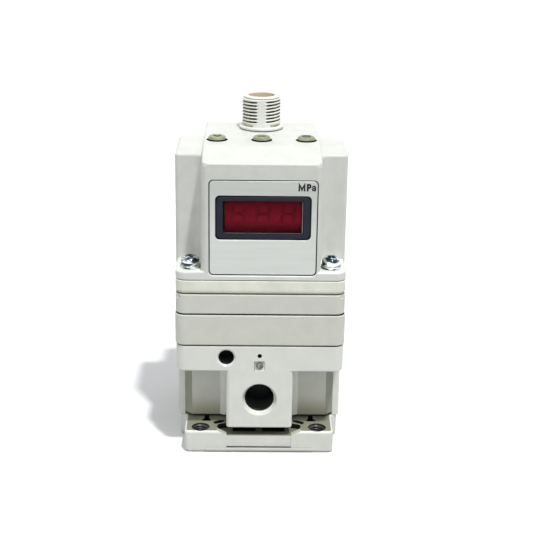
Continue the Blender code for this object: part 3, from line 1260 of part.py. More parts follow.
def make_solenoid(name, hand):
    """Pilot valve: a block with a coil on it, and the plunger that slides in its tube."""
    bottom = Z_COVER + GAP
    x = hand * SOLENOID_X
    tube_radius = PLUNGER_RADIUS + GAP
    case = slab(rectangle(SOLENOID_WIDTH, SOLENOID_DEPTH, 0.8 * MM), 0.0, SOLENOID_BLOCK, 0.0, 0.4 * MM)
    body = add(f"{name}_solenoid", case, "black_plastic", (x, SOLENOID_Y, bottom))
    winding = rod(COIL_RADIUS, SOLENOID_BLOCK - WELD, SOLENOID_BLOCK + COIL_HEIGHT)
    weld(body, add(f"{name}_coil", winding, "cutter", (x, SOLENOID_Y, bottom)))
    plunger_bottom = 2.0 * MM
    guide_top = plunger_bottom + PLUNGER_LENGTH + PLUNGER_TRAVEL + GAP
    bore_form = lathe([
        (0.0, -OVERCUT),
        (AIR_HOLE_RADIUS, -OVERCUT),
        (AIR_HOLE_RADIUS, plunger_bottom - GAP),
        (tube_radius, plunger_bottom - GAP),
        (tube_radius, guide_top),
        (0.0, guide_top),
    ], SMALL)
    cut(body, add(f"{name}_tube", bore_form, "cutter", (x, SOLENOID_Y, bottom)))
    plunger = rod(PLUNGER_RADIUS, plunger_bottom, plunger_bottom + PLUNGER_LENGTH, SMALL)
    add(f"{name}_plunger", plunger, "bright_steel", (x, SOLENOID_Y, bottom))


def make_sensor():
    bottom = Z_COVER + GAP
    can = lathe([
        (0.0, 0.0),
        (SENSOR_RADIUS, 0.0),
        (SENSOR_RADIUS, SENSOR_HEIGHT - 0.5 * MM),
        (SENSOR_RADIUS - 0.5 * MM, SENSOR_HEIGHT),
        (1.2 * MM, SENSOR_HEIGHT),
        (1.2 * MM, SENSOR_HEIGHT - 1.0 * MM),
        (0.0, SENSOR_HEIGHT - 1.0 * MM),
    ])
    y = board_y() + BOARD_THICKNESS + SENSOR_CLEARANCE + SENSOR_RADIUS
    add("pressure_sensor", can, "bright_steel", (0.0, y, bottom))


def make_screws():
    plus = four_fold([(1.3 * MM, 0.35 * MM, 0.0), (0.35 * MM, 0.35 * MM, 0.0), (0.35 * MM, 1.3 * MM, 0.0)])
    for number, (x, y) in corners(SCREW_X, SCREW_Y):
        washer_z = Z_FLANGE_TOP + SEAT
        washer = tube(SCREW_RADIUS + SEAT, WASHER_RADIUS, 0.0, WASHER_THICKNESS, MEDIUM)
        add(f"screw_washer_{number}", washer, "zinc_screw", (x, y, washer_z))
        head_z = washer_z + WASHER_THICKNESS + SEAT
        reach = head_z - (Z_BODY_TOP - SCREW_GRIP)
        head = lathe([
            (0.0, -reach),
            (SCREW_RADIUS, -reach),
            (SCREW_RADIUS, 0.0),
            (SCREW_HEAD_RADIUS, 0.0),
            (SCREW_HEAD_RADIUS, SCREW_HEAD_HEIGHT * 0.5),
            (SCREW_HEAD_RADIUS * 0.88, SCREW_HEAD_HEIGHT * 0.8),
            (SCREW_HEAD_RADIUS * 0.6, SCREW_HEAD_HEIGHT),
            (0.0, SCREW_HEAD_HEIGHT),
        ])
        screw = add(f"cover_screw_{number}", head, "zinc_screw", (x, y, head_z))
        recess = slab(fillet(plus), SCREW_HEAD_HEIGHT - 1.1 * MM, SCREW_HEAD_HEIGHT + OVERCUT)
        cut(screw, add(f"cross_recess_{number}", recess, "cutter", (x, y, head_z)))
    for number, (x, y) in corners(BASE_SCREW_X, BASE_SCREW_Y):
        screw = lathe([
            (0.0, 0.4 * MM),
            (BASE_SCREW_HEAD_RADIUS, 0.4 * MM),
            (BASE_SCREW_RADIUS, 0.4 * MM + BASE_SCREW_HEAD_HEIGHT),
            (BASE_SCREW_RADIUS, Z_BODY + BASE_SCREW_GRIP),
            (0.0, Z_BODY + BASE_SCREW_GRIP),
        ], SMALL)
        piece = add(f"base_screw_{number}", screw, "zinc_screw", (x, y, 0.0))
        recess = slab(fillet(plus), 0.4 * MM - OVERCUT, 1.4 * MM)
        cut(piece, add(f"base_cross_recess_{number}", recess, "cutter", (x, y, 0.0)))


def main():
    for item in list(bpy.data.objects):
        bpy.data.objects.remove(item, do_unlink=True)
    make_base_plate()
    make_base_gasket()
    make_valve_body()
    nose_top = make_main_valve()
    make_diaphragm(nose_top)
    make_layers()
    make_cover()
    make_display()
    make_keys()
    make_connector()
    make_boards()
    make_solenoid("supply", -1)
    make_solenoid("exhaust", 1)
    make_sensor()
    make_screws()


main()
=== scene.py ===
"""Looks of the electro pneumatic regulator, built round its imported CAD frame.

Laid out as an add-on and run as a script. Every piece has an operator; sizes and colours
that a user would change are properties. The castings and mouldings are surfaces raised from
rounded outlines, and the round pieces are profiles carried round an axis, all of them worked
out as whole numpy arrays. Metres, +Z up, the display side is -Y.
"""
import json
import math

import bmesh
import bpy
import numpy as np
from bpy.props import FloatProperty, FloatVectorProperty, IntProperty, PointerProperty
from mathutils import Matrix, Vector


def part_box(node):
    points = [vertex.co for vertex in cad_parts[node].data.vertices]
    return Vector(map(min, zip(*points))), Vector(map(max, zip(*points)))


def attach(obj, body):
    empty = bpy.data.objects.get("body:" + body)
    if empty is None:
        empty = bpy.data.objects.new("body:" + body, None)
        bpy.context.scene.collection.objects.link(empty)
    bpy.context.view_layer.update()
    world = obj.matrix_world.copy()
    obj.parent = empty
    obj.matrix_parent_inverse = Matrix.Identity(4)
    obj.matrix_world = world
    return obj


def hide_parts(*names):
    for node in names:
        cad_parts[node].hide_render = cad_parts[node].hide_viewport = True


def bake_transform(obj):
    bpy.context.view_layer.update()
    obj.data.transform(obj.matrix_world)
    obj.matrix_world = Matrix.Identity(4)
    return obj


bl_info = {
    "name": "Electro pneumatic regulator",
    "version": (1, 0, 0),
    "blender": (4, 5, 0),
    "location": "View3D > Sidebar > Regulator",
    "description": "Builds the looks of an electro pneumatic regulator round its CAD frame",
    "category": "Object",
}

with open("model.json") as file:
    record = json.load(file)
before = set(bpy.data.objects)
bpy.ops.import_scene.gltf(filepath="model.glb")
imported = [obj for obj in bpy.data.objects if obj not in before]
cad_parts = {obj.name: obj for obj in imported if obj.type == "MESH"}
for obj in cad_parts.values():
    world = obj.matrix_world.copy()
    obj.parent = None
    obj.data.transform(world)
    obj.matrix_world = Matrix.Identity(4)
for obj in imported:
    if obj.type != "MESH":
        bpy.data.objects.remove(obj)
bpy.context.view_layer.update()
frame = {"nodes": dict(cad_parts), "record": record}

MM = 0.001
TAU = 2 * math.pi
UP, DOWN = (0, 0, 1), (0, 0, -1)
RIGHT, LEFT = (1, 0, 0), (-1, 0, 0)
INTO, OUT = (0, 1, 0), (0, -1, 0)  # from the front into the object, and from its rear
LABEL_DROP = 0.45 * MM            # the film ends that much below the top of its node
BEZEL_INSET = 0.4 * MM            # the display frame is that much narrower on each hand

BODY_LOW, BODY_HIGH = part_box("valve_body")
PLATE_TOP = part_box("base_plate")[1][2]
COVER_LOW, COVER_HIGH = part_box("cover")
LABEL_LOW, LABEL_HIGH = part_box("label_plate")
LABEL_HIGH = LABEL_HIGH - Vector((0.0, 0.0, LABEL_DROP))
BEZEL_LOW, BEZEL_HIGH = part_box("display_bezel")
BEZEL_LOW = BEZEL_LOW + Vector((BEZEL_INSET, 0.0, 0.0))
BEZEL_HIGH = BEZEL_HIGH - Vector((BEZEL_INSET, 0.0, 0.0))
WINDOW_LOW, WINDOW_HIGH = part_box("display_window")
MODULE_LOW, MODULE_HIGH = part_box("led_module")

HALF = 25.0 * MM                  # half the width and half the depth of the body
FRONT = -HALF
REAR = HALF
GAP = 0.3 * MM                    # clearance between neighbouring pieces of the frame
OVERCUT = 1.0 * MM                # how far a cutting form runs past the face that it opens
SCREW_X = 20.7 * MM
SCREW_Y = 20.2 * MM
BASE_SCREW_X = 19.4 * MM
BASE_SCREW_Y = 10.3 * MM
MOUNT_X = 17.85 * MM
MOUNT_Y = 22.05 * MM
ROWS_PER_TURN = 10                # of the inside threads' grids
SCREW_HOLE = 1.8 * MM             # radius of the screws' clearance holes
SAME_PLACE = 1e-7                 # m; corners nearer than that are merged
LEAST_RADIUS = 2e-6               # m; what a sharp corner of an outline gets
KEYS = {"down": -13.2 * MM, "up": 0.0, "set": 13.2 * MM}
KEY_Y = -7.0 * MM
CONNECTOR_Y = 10.0 * MM
LABEL_X = (LABEL_LOW[0] + LABEL_HIGH[0]) / 2
LABEL_Z = (LABEL_LOW[2] + LABEL_HIGH[2]) / 2
BEZEL_Z = (BEZEL_LOW[2] + BEZEL_HIGH[2]) / 2
FLANGE_TOP = COVER_LOW[2] + 2.55 * MM
COVER_TOP = COVER_LOW[2] + 34.65 * MM
PLATEAU = COVER_HIGH[2]
WALL = 2.0 * MM                   # wall of the cover
BODY_TOP = BODY_HIGH[2]
BODY_BOTTOM = BODY_LOW[2]
PORT_Z = BODY_BOTTOM + 10.2 * MM
REAR_PORT_Z = BODY_BOTTOM + 8.7 * MM
MARK_Z = BODY_TOP - 6.35 * MM     # middle of the square pocket with the port mark
GAUGE_PORT = (0.0, FRONT, BODY_BOTTOM + 9.4 * MM)
PILOT_EXHAUST = (-10.0 * MM, FRONT, BODY_TOP - 3.75 * MM)


def length(name, description, default):
    """A length for a settings group."""
    return FloatProperty(name=name, description=description, default=default, unit="LENGTH")


def swatch(name, description, *colour):
    """A colour for a settings group, from linear red, green and blue."""
    return FloatVectorProperty(name=name, description=description, default=colour, subtype="COLOR",
                               size=3, min=0.0, max=1.0)


def angle_of(name, description, degrees):
    """An angle for a settings group."""
    return FloatProperty(name=name, description=description, default=math.radians(degrees), subtype="ANGLE")


class CastingSettings(bpy.types.PropertyGroup):
    """Fineness of the castings and mouldings."""
    corner_steps: IntProperty(name="Corner steps", description="Sides that round off each upright corner",
                              default=8, min=2, max=32)
    edge_steps: IntProperty(name="Edge steps", description="Sides that round off each long edge",
                            default=5, min=1, max=16)
    bore_sides: IntProperty(name="Bore sides", description="Sides of a port's bore",
                            default=96, min=24, max=256)


class ThreadSettings(bpy.types.PropertyGroup):
    """Threads of the ports, the mounting holes and the plug connector."""
    gauge_pitch: length("Gauge port pitch", "Pitch of the 1/8 inch pipe thread", 0.907 * MM)
    side_pitch: length("Side port pitch", "Pitch of the 3/8 and 1/4 inch pipe threads", 1.337 * MM)
    small_pitch: length("Small hole pitch", "Pitch in the pilot exhaust and the mounting holes", 0.8 * MM)
    plug_pitch: length("Plug pitch", "Pitch of the plug connector's outside thread", 1.0 * MM)
    plug_depth: length("Plug thread depth", "Depth of that thread", 0.58 * MM)


class DisplaySettings(bpy.types.PropertyGroup):
    """Numeric display behind the window."""
    digit_height: length("Digit height", "Height of one seven-bar digit", 6.9 * MM)
    digit_width: length("Digit width", "Width of one seven-bar digit", 4.2 * MM)
    bar_width: length("Bar width", "Width of one bar of a digit", 0.85 * MM)


class FinishSettings(bpy.types.PropertyGroup):
    """Base colours of the finishes."""
    cover: swatch("Cover", "Ivory moulded cover", 0.70, 0.71, 0.665)
    board_base: swatch("Board base", "Yellower ivory of the layer below the cover", 0.87, 0.885, 0.76)
    layer: swatch("Layers", "Grey-beige paint of the middle layers", 0.70, 0.71, 0.635)
    body: swatch("Valve body", "Light paint of the valve body", 0.82, 0.835, 0.77)
    # Darker copy of the body paint for the recess walls: painted shade.
    body_recess: swatch("Body recess", "Duller paint inside the body's side recesses", 0.68, 0.69, 0.62)
    raw_casting: swatch("Raw casting", "Olive grey of the slanting strips", 0.29, 0.30, 0.235)
    plate: swatch("Base plate", "Paint on the sides of the base plate", 0.80, 0.81, 0.75)
    # Olive of the plate's upper faces: partly its own colour, partly painted shade from the body above.
    plate_top: swatch("Plate top", "Olive tone of the plate's upper faces", 0.25, 0.25, 0.185)
    label: swatch("Label", "Silvery label film", 0.75, 0.78, 0.735)
    print_ink: swatch("Print", "Dark print on the label", 0.012, 0.012, 0.018)
    bezel: swatch("Bezel", "Navy display frame", 0.022, 0.023, 0.038)
    window: swatch("Window", "Red tinted pane", 0.10, 0.002, 0.008)
    display: swatch("Display", "Red face behind the pane", 0.62, 0.020, 0.055)
    key: swatch("Keys", "Greenish grey rubber", 0.27, 0.305, 0.195)
    zinc: swatch("Zinc", "Blue bright zinc plate", 0.86, 0.90, 0.93)
    pin_carrier: swatch("Pin carrier", "Tan plastic inside the plug", 0.66, 0.57, 0.43)


class StageSettings(bpy.types.PropertyGroup):
    """Camera, lamps and floor."""
    camera_place: FloatVectorProperty(
        name="Camera place", description="Where the camera stands",
        default=(-3.9 * MM, -352.2 * MM, 171.8 * MM), subtype="TRANSLATION", unit="LENGTH", size=3)
    camera_tilt: angle_of("Camera tilt", "How far the camera looks down", 18.83)
    camera_turn: angle_of("Camera turn", "How far the camera looks to its left", -0.967)
    camera_roll: angle_of("Camera roll", "How far the camera leans to one side", 0.80)
    lens: FloatProperty(
        name="Lens", description="Focal length in millimetres on a 36 mm sensor", default=80.44)
    sun_power: FloatProperty(
        name="Sun", description="Strength of the even light from the front right", default=2.2)
    fill_power: FloatProperty(
        name="Soft box", description="Power of the soft box beside the camera", default=0.25, unit="POWER")
    sky_high: FloatProperty(
        name="Sky overhead", description="Strength of the soft light from straight above", default=1.0)
    sky_low: FloatProperty(
        name="Sky level", description="Strength of the soft light from the horizon", default=0.15)
    floor_colour: swatch("Floor", "Pale studio floor", 0.40, 0.405, 0.415)


# Shapes


def unit(vectors):
    """Each vector divided by its length."""
    return vectors / np.linalg.norm(vectors, axis=-1, keepdims=True)


def rounded_outline(corners, steps=8, inwards=0.0):
    """Closed outline of (x, y, radius) corners, anticlockwise, with every side moved inwards.

    A corner moves along the mean of its sides' normals by inwards / cos(half the turn); its
    radius shrinks by the same distance where the outline is convex and grows where it is
    hollow. The arc's centre is then the corner moved along the bisector by
    radius / sin(half the angle), and its points turn evenly from side to side.
    """
    table = np.array(corners, float)
    point = table[:, :2]
    before = unit(np.roll(point, 1, axis=0) - point)
    after = unit(np.roll(point, -1, axis=0) - point)
    turning = np.sign(after[:, 0] * before[:, 1] - after[:, 1] * before[:, 0])[:, None]
    normal_before = np.stack([before[:, 1], -before[:, 0]], axis=1)
    normal_after = np.stack([-after[:, 1], after[:, 0]], axis=1)
    middle = unit(normal_before + normal_after)
    point = point + middle * inwards / (middle * normal_after).sum(1, keepdims=True)
    radius = np.maximum(table[:, 2:3] - turning * inwards, LEAST_RADIUS)
    half = np.arccos(np.clip((before * after).sum(1, keepdims=True), -1.0, 1.0)) / 2
    centre = point + unit(before + after) * radius / np.sin(half)
    start = point + before * radius / np.tan(half) - centre
    end = point + after * radius / np.tan(half) - centre
    sweep = np.arctan2(
        start[:, 0] * end[:, 1] - start[:, 1] * end[:, 0], (start * end).sum(1))
    turn = sweep[:, None, None] * np.linspace(0.0, 1.0, steps + 1)[None, :, None]
    across = np.stack([-start[:, 1], start[:, 0]], axis=1)
    arcs = centre[:, None] + start[:, None] * np.cos(turn) + across[:, None] * np.sin(turn)
    return arcs.reshape(-1, 2)


def four_fold(quadrant):
    """The corners of the +X +Y quadrant mirrored into all four, anticlockwise."""
    q = np.array(quadrant, float)
    back = q[::-1]
    return np.concatenate([
        q, back * (-1, 1, 1), q * (-1, -1, 1), back * (1, -1, 1)])


def four_places(x, y):
    """The points (x, y) in all four quarters."""
    return [(i * x, j * y) for i in (-1, 1) for j in (-1, 1)]


def rectangle(width, depth, radius, centre=(0.0, 0.0)):
    """Corners of a rounded rectangle."""
    x, y = centre
    w, d = width / 2, depth / 2
    return np.array([
        (x + w, y + d, radius), (x - w, y + d, radius),
        (x - w, y - d, radius), (x + w, y - d, radius)])


def edge_levels(bottom, top, low_round, high_round, draft=0.0, steps=5):
    """(inwards, height) pairs of a side with a quarter-circle round at each end."""
    turn = np.linspace(0.0, math.pi / 2, steps + 1)
    low = np.stack([low_round * (1 - np.sin(turn)), bottom + low_round * (1 - np.cos(turn))], 1)
    high = np.stack([draft + high_round * (1 - np.cos(turn)),
                     top - high_round * (1 - np.sin(turn))], 1)
    low = low if low_round > 0.0 else low[-1:]
    high = high if high_round > 0.0 else high[:1]
    return np.concatenate([low, high])


def wrapped_quads(rows, columns, close_rows=False, close_columns=True):
    """Quads between neighbours on a grid of points, as index rows."""
    index = np.arange(rows * columns).reshape(rows, columns)
    if close_rows:
        index = np.concatenate([index, index[:1]])
    if close_columns:
        index = np.concatenate([index, index[:, :1]], axis=1)
    return np.stack([index[:-1, :-1], index[:-1, 1:], index[1:, 1:], index[1:, :-1]],
                    axis=-1).reshape(-1, 4)


def capped(rings):
    """Closed form: rows of as many points each, with a flat face over the first and the last."""
    rows, columns = rings.shape[:2]
    faces = wrapped_quads(rows, columns).tolist()
    faces.append(list(range(columns))[::-1])
    faces.append([(rows - 1) * columns + i for i in range(columns)])
    return rings.reshape(-1, 3), faces


def shell(grid, close_rows=False):
    """Open or closed form from a grid of points whose rows are rings."""
    return grid.reshape(-1, 3), wrapped_quads(*grid.shape[:2], close_rows=close_rows).tolist()


def round_grid(radius, angle, height):
    """Points at a radius and a height round the axis: x and y are radius times cosine and sine."""
    points = np.broadcast_arrays(radius * np.cos(angle), radius * np.sin(angle), height)
    return np.stack(points, axis=-1)


def angles(sides):
    """Even angles of a full turn, as one row."""
    return (np.arange(sides) * TAU / sides)[None, :]


def carried(profiles, axis, places):
    """Closed form: flat profiles of as many points each, one after the other along an axis."""
    return capped(np.stack([
        np.insert(profile, axis, place, axis=1) for profile, place in zip(profiles, places)]))


def raised(corners, levels, steps=8):
    """Closed form: the outline of the corners at each (inwards, height) level."""
    return carried([rounded_outline(corners, steps, inwards) for inwards, height in levels],
                   2, [height for inwards, height in levels])


def ribbon(path, half, front, proud, sunk=0.05 * MM):
    """A flat stroke along an (x, z) path: each point is pushed to both sides along the mitre,
    half / cos(half the turn), and the strip is carried from proud of the front to behind it."""
    along = unit(np.diff(path, axis=0))
    along = np.concatenate([along[:1], along, along[-1:]])
    mean = unit(along[:-1] + along[1:])
    normal = np.stack([-mean[:, 1], mean[:, 0]], axis=1)
    first = np.stack([-along[:-1, 1], along[:-1, 0]], axis=1)
    reach = half / np.maximum((normal * first).sum(1, keepdims=True), 0.35)
    ends = np.zeros_like(path)
    ends[0], ends[-1] = -along[0] * half, along[-1] * half
    left = path + ends + normal * reach
    right = path + ends - normal * reach
    flat = np.stack([left, right, right, left])
    depth = np.array([-proud, -proud, sunk, sunk]) + front
    points = np.stack([
        flat[..., 0], np.broadcast_to(depth[:, None], flat.shape[:2]), flat[..., 1]], axis=-1)
    rows, columns = points.shape[:2]
    faces = wrapped_quads(rows, columns, close_rows=True, close_columns=False).tolist()
    faces.append([i * columns for i in range(rows)])
    faces.append([i * columns + columns - 1 for i in range(rows)][::-1])
    return points.reshape(-1, 3), faces


def turned(profile, sides, closed=False):
    """Profile of (radius, height) pairs carried round +Z. Ends on the axis close to a pole once
    doubles are merged."""
    table = np.array(profile, float)
    return shell(round_grid(table[:, 0:1], angles(sides), table[:, 1:2]), closed)


def aimed(form, place, towards=UP):
    """A form turned so that its +Z runs towards a direction, then moved to its place."""
    points, faces = form
    turn = Vector(UP).rotation_difference(Vector(towards)).to_matrix()
    return points @ np.array(turn).T + np.array(place, float), faces


def box_form(first, second):
    """A plain box between two corners."""
    (x0, y0, z0), (x1, y1, z1) = np.minimum(first, second), np.maximum(first, second)
    points = np.array([
        (x, y, z) for z in (z0, z1) for x, y in ((x1, y1), (x0, y1), (x0, y0), (x1, y0))])
    faces = [(3, 2, 1, 0), (4, 5, 6, 7), (0, 1, 5, 4), (1, 2, 6, 5), (2, 3, 7, 6), (3, 0, 4, 7)]
    return points, [list(face) for face in faces]


def disc(radius, low, high, sides):
    """A plain upright cylinder."""
    return turned([(0.0, low), (radius, low), (radius, high), (0.0, high)], sides)


def blind_bore(radius, depth, mouth=0.0, sides=96):
    """Cutting form of a blind hole along +Z, with a 45 degree mouth that much wider."""
    if mouth <= 0.0:
        return disc(radius, -OVERCUT, depth, sides)
    return turned([(0.0, -OVERCUT), (radius + mouth + OVERCUT, -OVERCUT), (radius, mouth),
                   (radius, depth), (0.0, depth)], sides)


def thread_wave(turns):
    """Ridge height from 0 to 1 over one turn: a triangle wave with flattened crest and root."""
    wave = np.abs((turns % 1.0) * 2.0 - 1.0)
    return np.clip((wave - 0.12) / 0.70, 0.0, 1.0)


def thread_lining(crest, root, pitch, end, mouth, sides, start):
    """Inside thread along +Z as a thin closed ring.

    The inner radius is the root less the ridge of (height / pitch - angle / turn), and never
    less than the 45 degree mouth; the outer wall is a plain cylinder at the root radius.
    """
    rows = max(int((end - start) / pitch * ROWS_PER_TURN), 12)
    height = np.linspace(start, end, rows)[:, None]
    angle = angles(sides)
    ridge = thread_wave(height / pitch - angle / TAU)
    inner = root - (root - crest) * ridge
    inner = np.minimum(np.maximum(inner, mouth - height), root - 0.01 * MM)
    radius = np.concatenate([inner, np.full((2, sides), root)])
    heights = np.concatenate([height, [[end], [start]]])
    return shell(round_grid(radius, angle, heights), close_rows=True)


# Meshes


def clean(mesh, sharp, carved=False):
    """Merges doubles and marks sharp edges. Slivers go after a cut, else faces turn outwards."""
    work = bmesh.new()
    work.from_mesh(mesh)
    bmesh.ops.remove_doubles(work, verts=work.verts, dist=(2 if carved else 1) * SAME_PLACE)
    if carved:
        bmesh.ops.dissolve_degenerate(work, edges=work.edges, dist=SAME_PLACE)
    else:
        bmesh.ops.recalc_face_normals(work, faces=work.faces)
    work.to_mesh(mesh)
    work.free()
    mesh.shade_smooth()
    mesh.set_sharp_from_angle(angle=math.radians(sharp))


def make_object(name, forms, look, sharp=32.0):
    """An object of closed forms with one finish."""
    points = np.concatenate([np.asarray(form[0], float) for form in forms])
    faces = []
    count = 0
    for form_points, form_faces in forms:
        faces.extend([[i + count for i in face] for face in form_faces])
        count += len(form_points)
    mesh = bpy.data.meshes.new(name)
    mesh.from_pydata(points.tolist(), [], faces)
    clean(mesh, sharp)
    mesh.materials.append(look)
    piece = bpy.data.objects.new(name, mesh)
    bpy.context.collection.objects.link(piece)
    return piece


def cut(form, look):
    """A carving step that takes a form away."""
    return form, look, "DIFFERENCE"


def join(form, look):
    """A carving step that adds a form."""
    return form, look, "UNION"


def drill(look, place, towards, radius, depth, mouth=0.0, sides=32):
    """A carving step that makes a blind hole."""
    return cut(aimed(blind_bore(radius, depth, mouth, sides), place, towards), look)


def carve(piece, steps):
    """Joins or cuts forms: steps are (form, finish, operation), done in order and applied."""
    tools = []
    for number, (form, look, operation) in enumerate(steps):
        tool = make_object(f"carving_{number}", [form], look)
        modifier = piece.modifiers.new(tool.name, "BOOLEAN")
        modifier.operation = operation
        modifier.solver = "EXACT"
        modifier.material_mode = "TRANSFER"
        modifier.object = tool
        tools.append(tool)
    bpy.context.view_layer.update()
    solid = piece.evaluated_get(bpy.context.evaluated_depsgraph_get())
    mesh = bpy.data.meshes.new_from_object(solid)
    piece.modifiers.clear()
    old = piece.data
    piece.data = mesh
    bpy.data.meshes.remove(old)
    mesh.name = piece.name
    for tool in tools:
        bpy.data.objects.remove(tool, do_unlink=True)
    clean(mesh, 32.0, carved=True)
    return piece


def carved_form(form, steps, look):
    """A form after carving steps, as points and faces again."""
    piece = carve(make_object("carved_form", [form], look), steps)
    points = [vertex.co[:] for vertex in piece.data.vertices]
    faces = [list(face.vertices) for face in piece.data.polygons]
    bpy.data.objects.remove(piece, do_unlink=True)
    return points, faces


def face_table(piece):
    """Centre and normal of every face of a piece, a row each."""
    polygons = piece.data.polygons
    centre = np.empty(len(polygons) * 3)
    normal = np.empty(len(polygons) * 3)
    polygons.foreach_get("center", centre)
    polygons.foreach_get("normal", normal)
    return centre.reshape(-1, 3), normal.reshape(-1, 3)


def node_place(node):
    """Lowest and highest z of a node, and the point of its upright axis at z = 0."""
    low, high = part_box(node)
    return low[2], high[2], ((low[0] + high[0]) / 2, (low[1] + high[1]) / 2, 0.0)


def repaint(piece, look, chosen):
    """Gives the chosen faces of a piece another finish."""
    mesh = piece.data
    mesh.materials.append(look)
    index = np.empty(len(mesh.polygons), np.int32)
    mesh.polygons.foreach_get("material_index", index)
    index[chosen] = len(mesh.materials) - 1
    mesh.polygons.foreach_set("material_index", index)


def shade_seam(piece, look, heights):
    """Darkens the level faces of a piece at some heights, which only show as a line."""
    centre, normal = face_table(piece)
    near = np.abs(centre[:, 2:3] - np.array(heights)).min(1) < 0.02 * MM
    repaint(piece, look, near & (np.abs(normal[:, 2]) > 0.98))


def soften(piece):
    """Weighted normals, so that flat faces stay flat beside their rounded edges."""
    modifier = piece.modifiers.new("flat_faces", "WEIGHTED_NORMAL")
    modifier.keep_sharp = True
    modifier.weight = 50


def settle(piece, body="root", replaced=()):
    """Parents the piece to the empty of the body it rides on, and hides the nodes it stands for."""
    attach(piece, body)
    if replaced:
        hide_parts(*replaced)


# Finishes


class Nodes:
    """Adds shader nodes to the tree of a material or a world."""

    def __init__(self, owner):
        owner.use_nodes = True
        self.owner = owner
        self.tree = owner.node_tree

    def feed(self, socket, value):
        """Links an input to a socket, or gives it a number, a vector or a colour."""
        if isinstance(value, bpy.types.NodeSocket):
            self.tree.links.new(value, socket)
        elif socket.type == "RGBA":
            socket.default_value = (*value, 1.0)
        else:
            socket.default_value = value

    def add(self, kind, inputs=None, **settings):
        """A node with its inputs fed and its settings set."""
        node = self.tree.nodes.new("ShaderNode" + kind)
        for name, value in settings.items():
            setattr(node, name, value)
        for name, value in (inputs or {}).items():
            self.feed(node.inputs[name], value)
        return node

    def ramp(self, value, low, high, first, second):
        """Colours blended from first to second as the value goes from low to high."""
        node = self.add("ValToRGB", {"Fac": value})
        for element, place, colour in zip(node.color_ramp.elements, (low, high), (first, second)):
            element.position = place
            element.color = (*colour, 1.0)
        return node.outputs["Color"]

    def span(self, value, low, high, start=0.25, end=0.75):
        """A number from low to high as the value goes from start to end."""
        return self.add("MapRange", {"Value": value, "From Min": start, "From Max": end,
                                     "To Min": low, "To Max": high}).outputs["Result"]

    def blend(self, factor, first, second, mode="MIX"):
        """Mix of two colours or sockets."""
        return self.add("Mix", {0: factor, 6: first, 7: second},
                        data_type="RGBA", blend_type=mode).outputs[2]

    def split(self, vector, axis):
        """One part of a vector."""
        return self.add("SeparateXYZ", {"Vector": vector}).outputs[axis]

    def seen(self):
        """1 for camera, glossy and transmission rays, else 0."""
        path = self.add("LightPath")
        total = path.outputs["Is Camera Ray"]
        for name in ("Is Glossy Ray", "Is Transmission Ray"):
            larger = self.add("Math", {0: total, 1: path.outputs[name]}, operation="MAXIMUM")
            total = larger.outputs["Value"]
        return total


class Look(Nodes):
    """A material with a Principled shader, patterned over the object's coordinates."""

    def __init__(self, name):
        super().__init__(bpy.data.materials.new(name))
        self.shader = self.tree.nodes["Principled BSDF"]
        self.place = self.add("TexCoord").outputs["Object"]

    def noise(self, scale, detail=3.0, roughness=0.5, stretch=(1.0, 1.0, 1.0)):
        """Noise with that many features per metre and an optional stretch."""
        mapping = self.add("Mapping", {"Vector": self.place, "Scale": stretch})
        return self.add("TexNoise", {"Vector": mapping.outputs["Vector"], "Scale": scale, "Detail": detail,
                                     "Roughness": roughness}).outputs["Fac"]

    def mottled(self, value, colour, dark, bright, low=0.3, high=0.7):
        """A colour that a value makes darker and brighter by two factors."""
        return self.ramp(value, low, high, shaded(colour, dark), shaded(colour, bright))

    def height_tint(self, stops):
        """Colour that changes with height; stops are (height in metres, colour), lowest first."""
        low, high = stops[0][0], stops[-1][0]
        share = self.span(self.split(self.place, "Z"), 0.0, 1.0, low, high)
        levels = self.add("ValToRGB", {"Fac": share})
        levels.color_ramp.interpolation = "EASE"
        for height, colour in stops[1:-1]:
            levels.color_ramp.elements.new((height - low) / (high - low)).color = (*colour, 1.0)
        levels.color_ramp.elements[0].color = (*stops[0][1], 1.0)
        levels.color_ramp.elements[-1].color = (*stops[-1][1], 1.0)
        return levels.outputs["Color"]

    def relief(self, height, distance, strength, **below):
        """Bump from a height value; distance is in metres."""
        return self.add("Bump", {"Height": height, "Distance": distance, "Strength": strength,
                                 **below}).outputs["Normal"]

    def paint(self, tone, gloss, normal, **others):
        """Feeds the shader's inputs; the spaces in the others' names are written as _."""
        for name, value in {"Base_Color": tone, "Roughness": gloss, "Normal": normal, **others}.items():
            self.feed(self.shader.inputs[name.replace("_", " ")], value)


def shaded(colour, factor):
    """A colour made lighter or darker."""
    return tuple(min(max(part * factor, 0.0), 1.0) for part in colour)


def coated_finish(look, colour, roughness, mottle=0.05, grain=0.012 * MM, stops=()):
    """Satin paint or fine moulded skin: faint cloudy mottling, specks and a fine grain."""
    tone = look.mottled(look.noise(160.0, 4.0, 0.6), colour, 1.0 - mottle, 1.0 + mottle)
    dust = look.ramp(look.noise(2600.0, 2.0, 0.6), 0.70, 0.76, (0.0, 0.0, 0.0), (0.35, 0.35, 0.35))
    tone = look.blend(dust, tone, shaded(colour, 0.72))
    if stops:
        tone = look.blend(1.0, tone, look.height_tint(stops), "MULTIPLY")
    ripple = look.relief(look.noise(520.0, 2.0), grain * 1.5, 0.35)
    look.paint(tone, look.span(look.noise(90.0), roughness - 0.05, roughness + 0.07),
               look.relief(look.noise(3800.0, 2.0, 0.7), grain, 0.6, Normal=ripple))


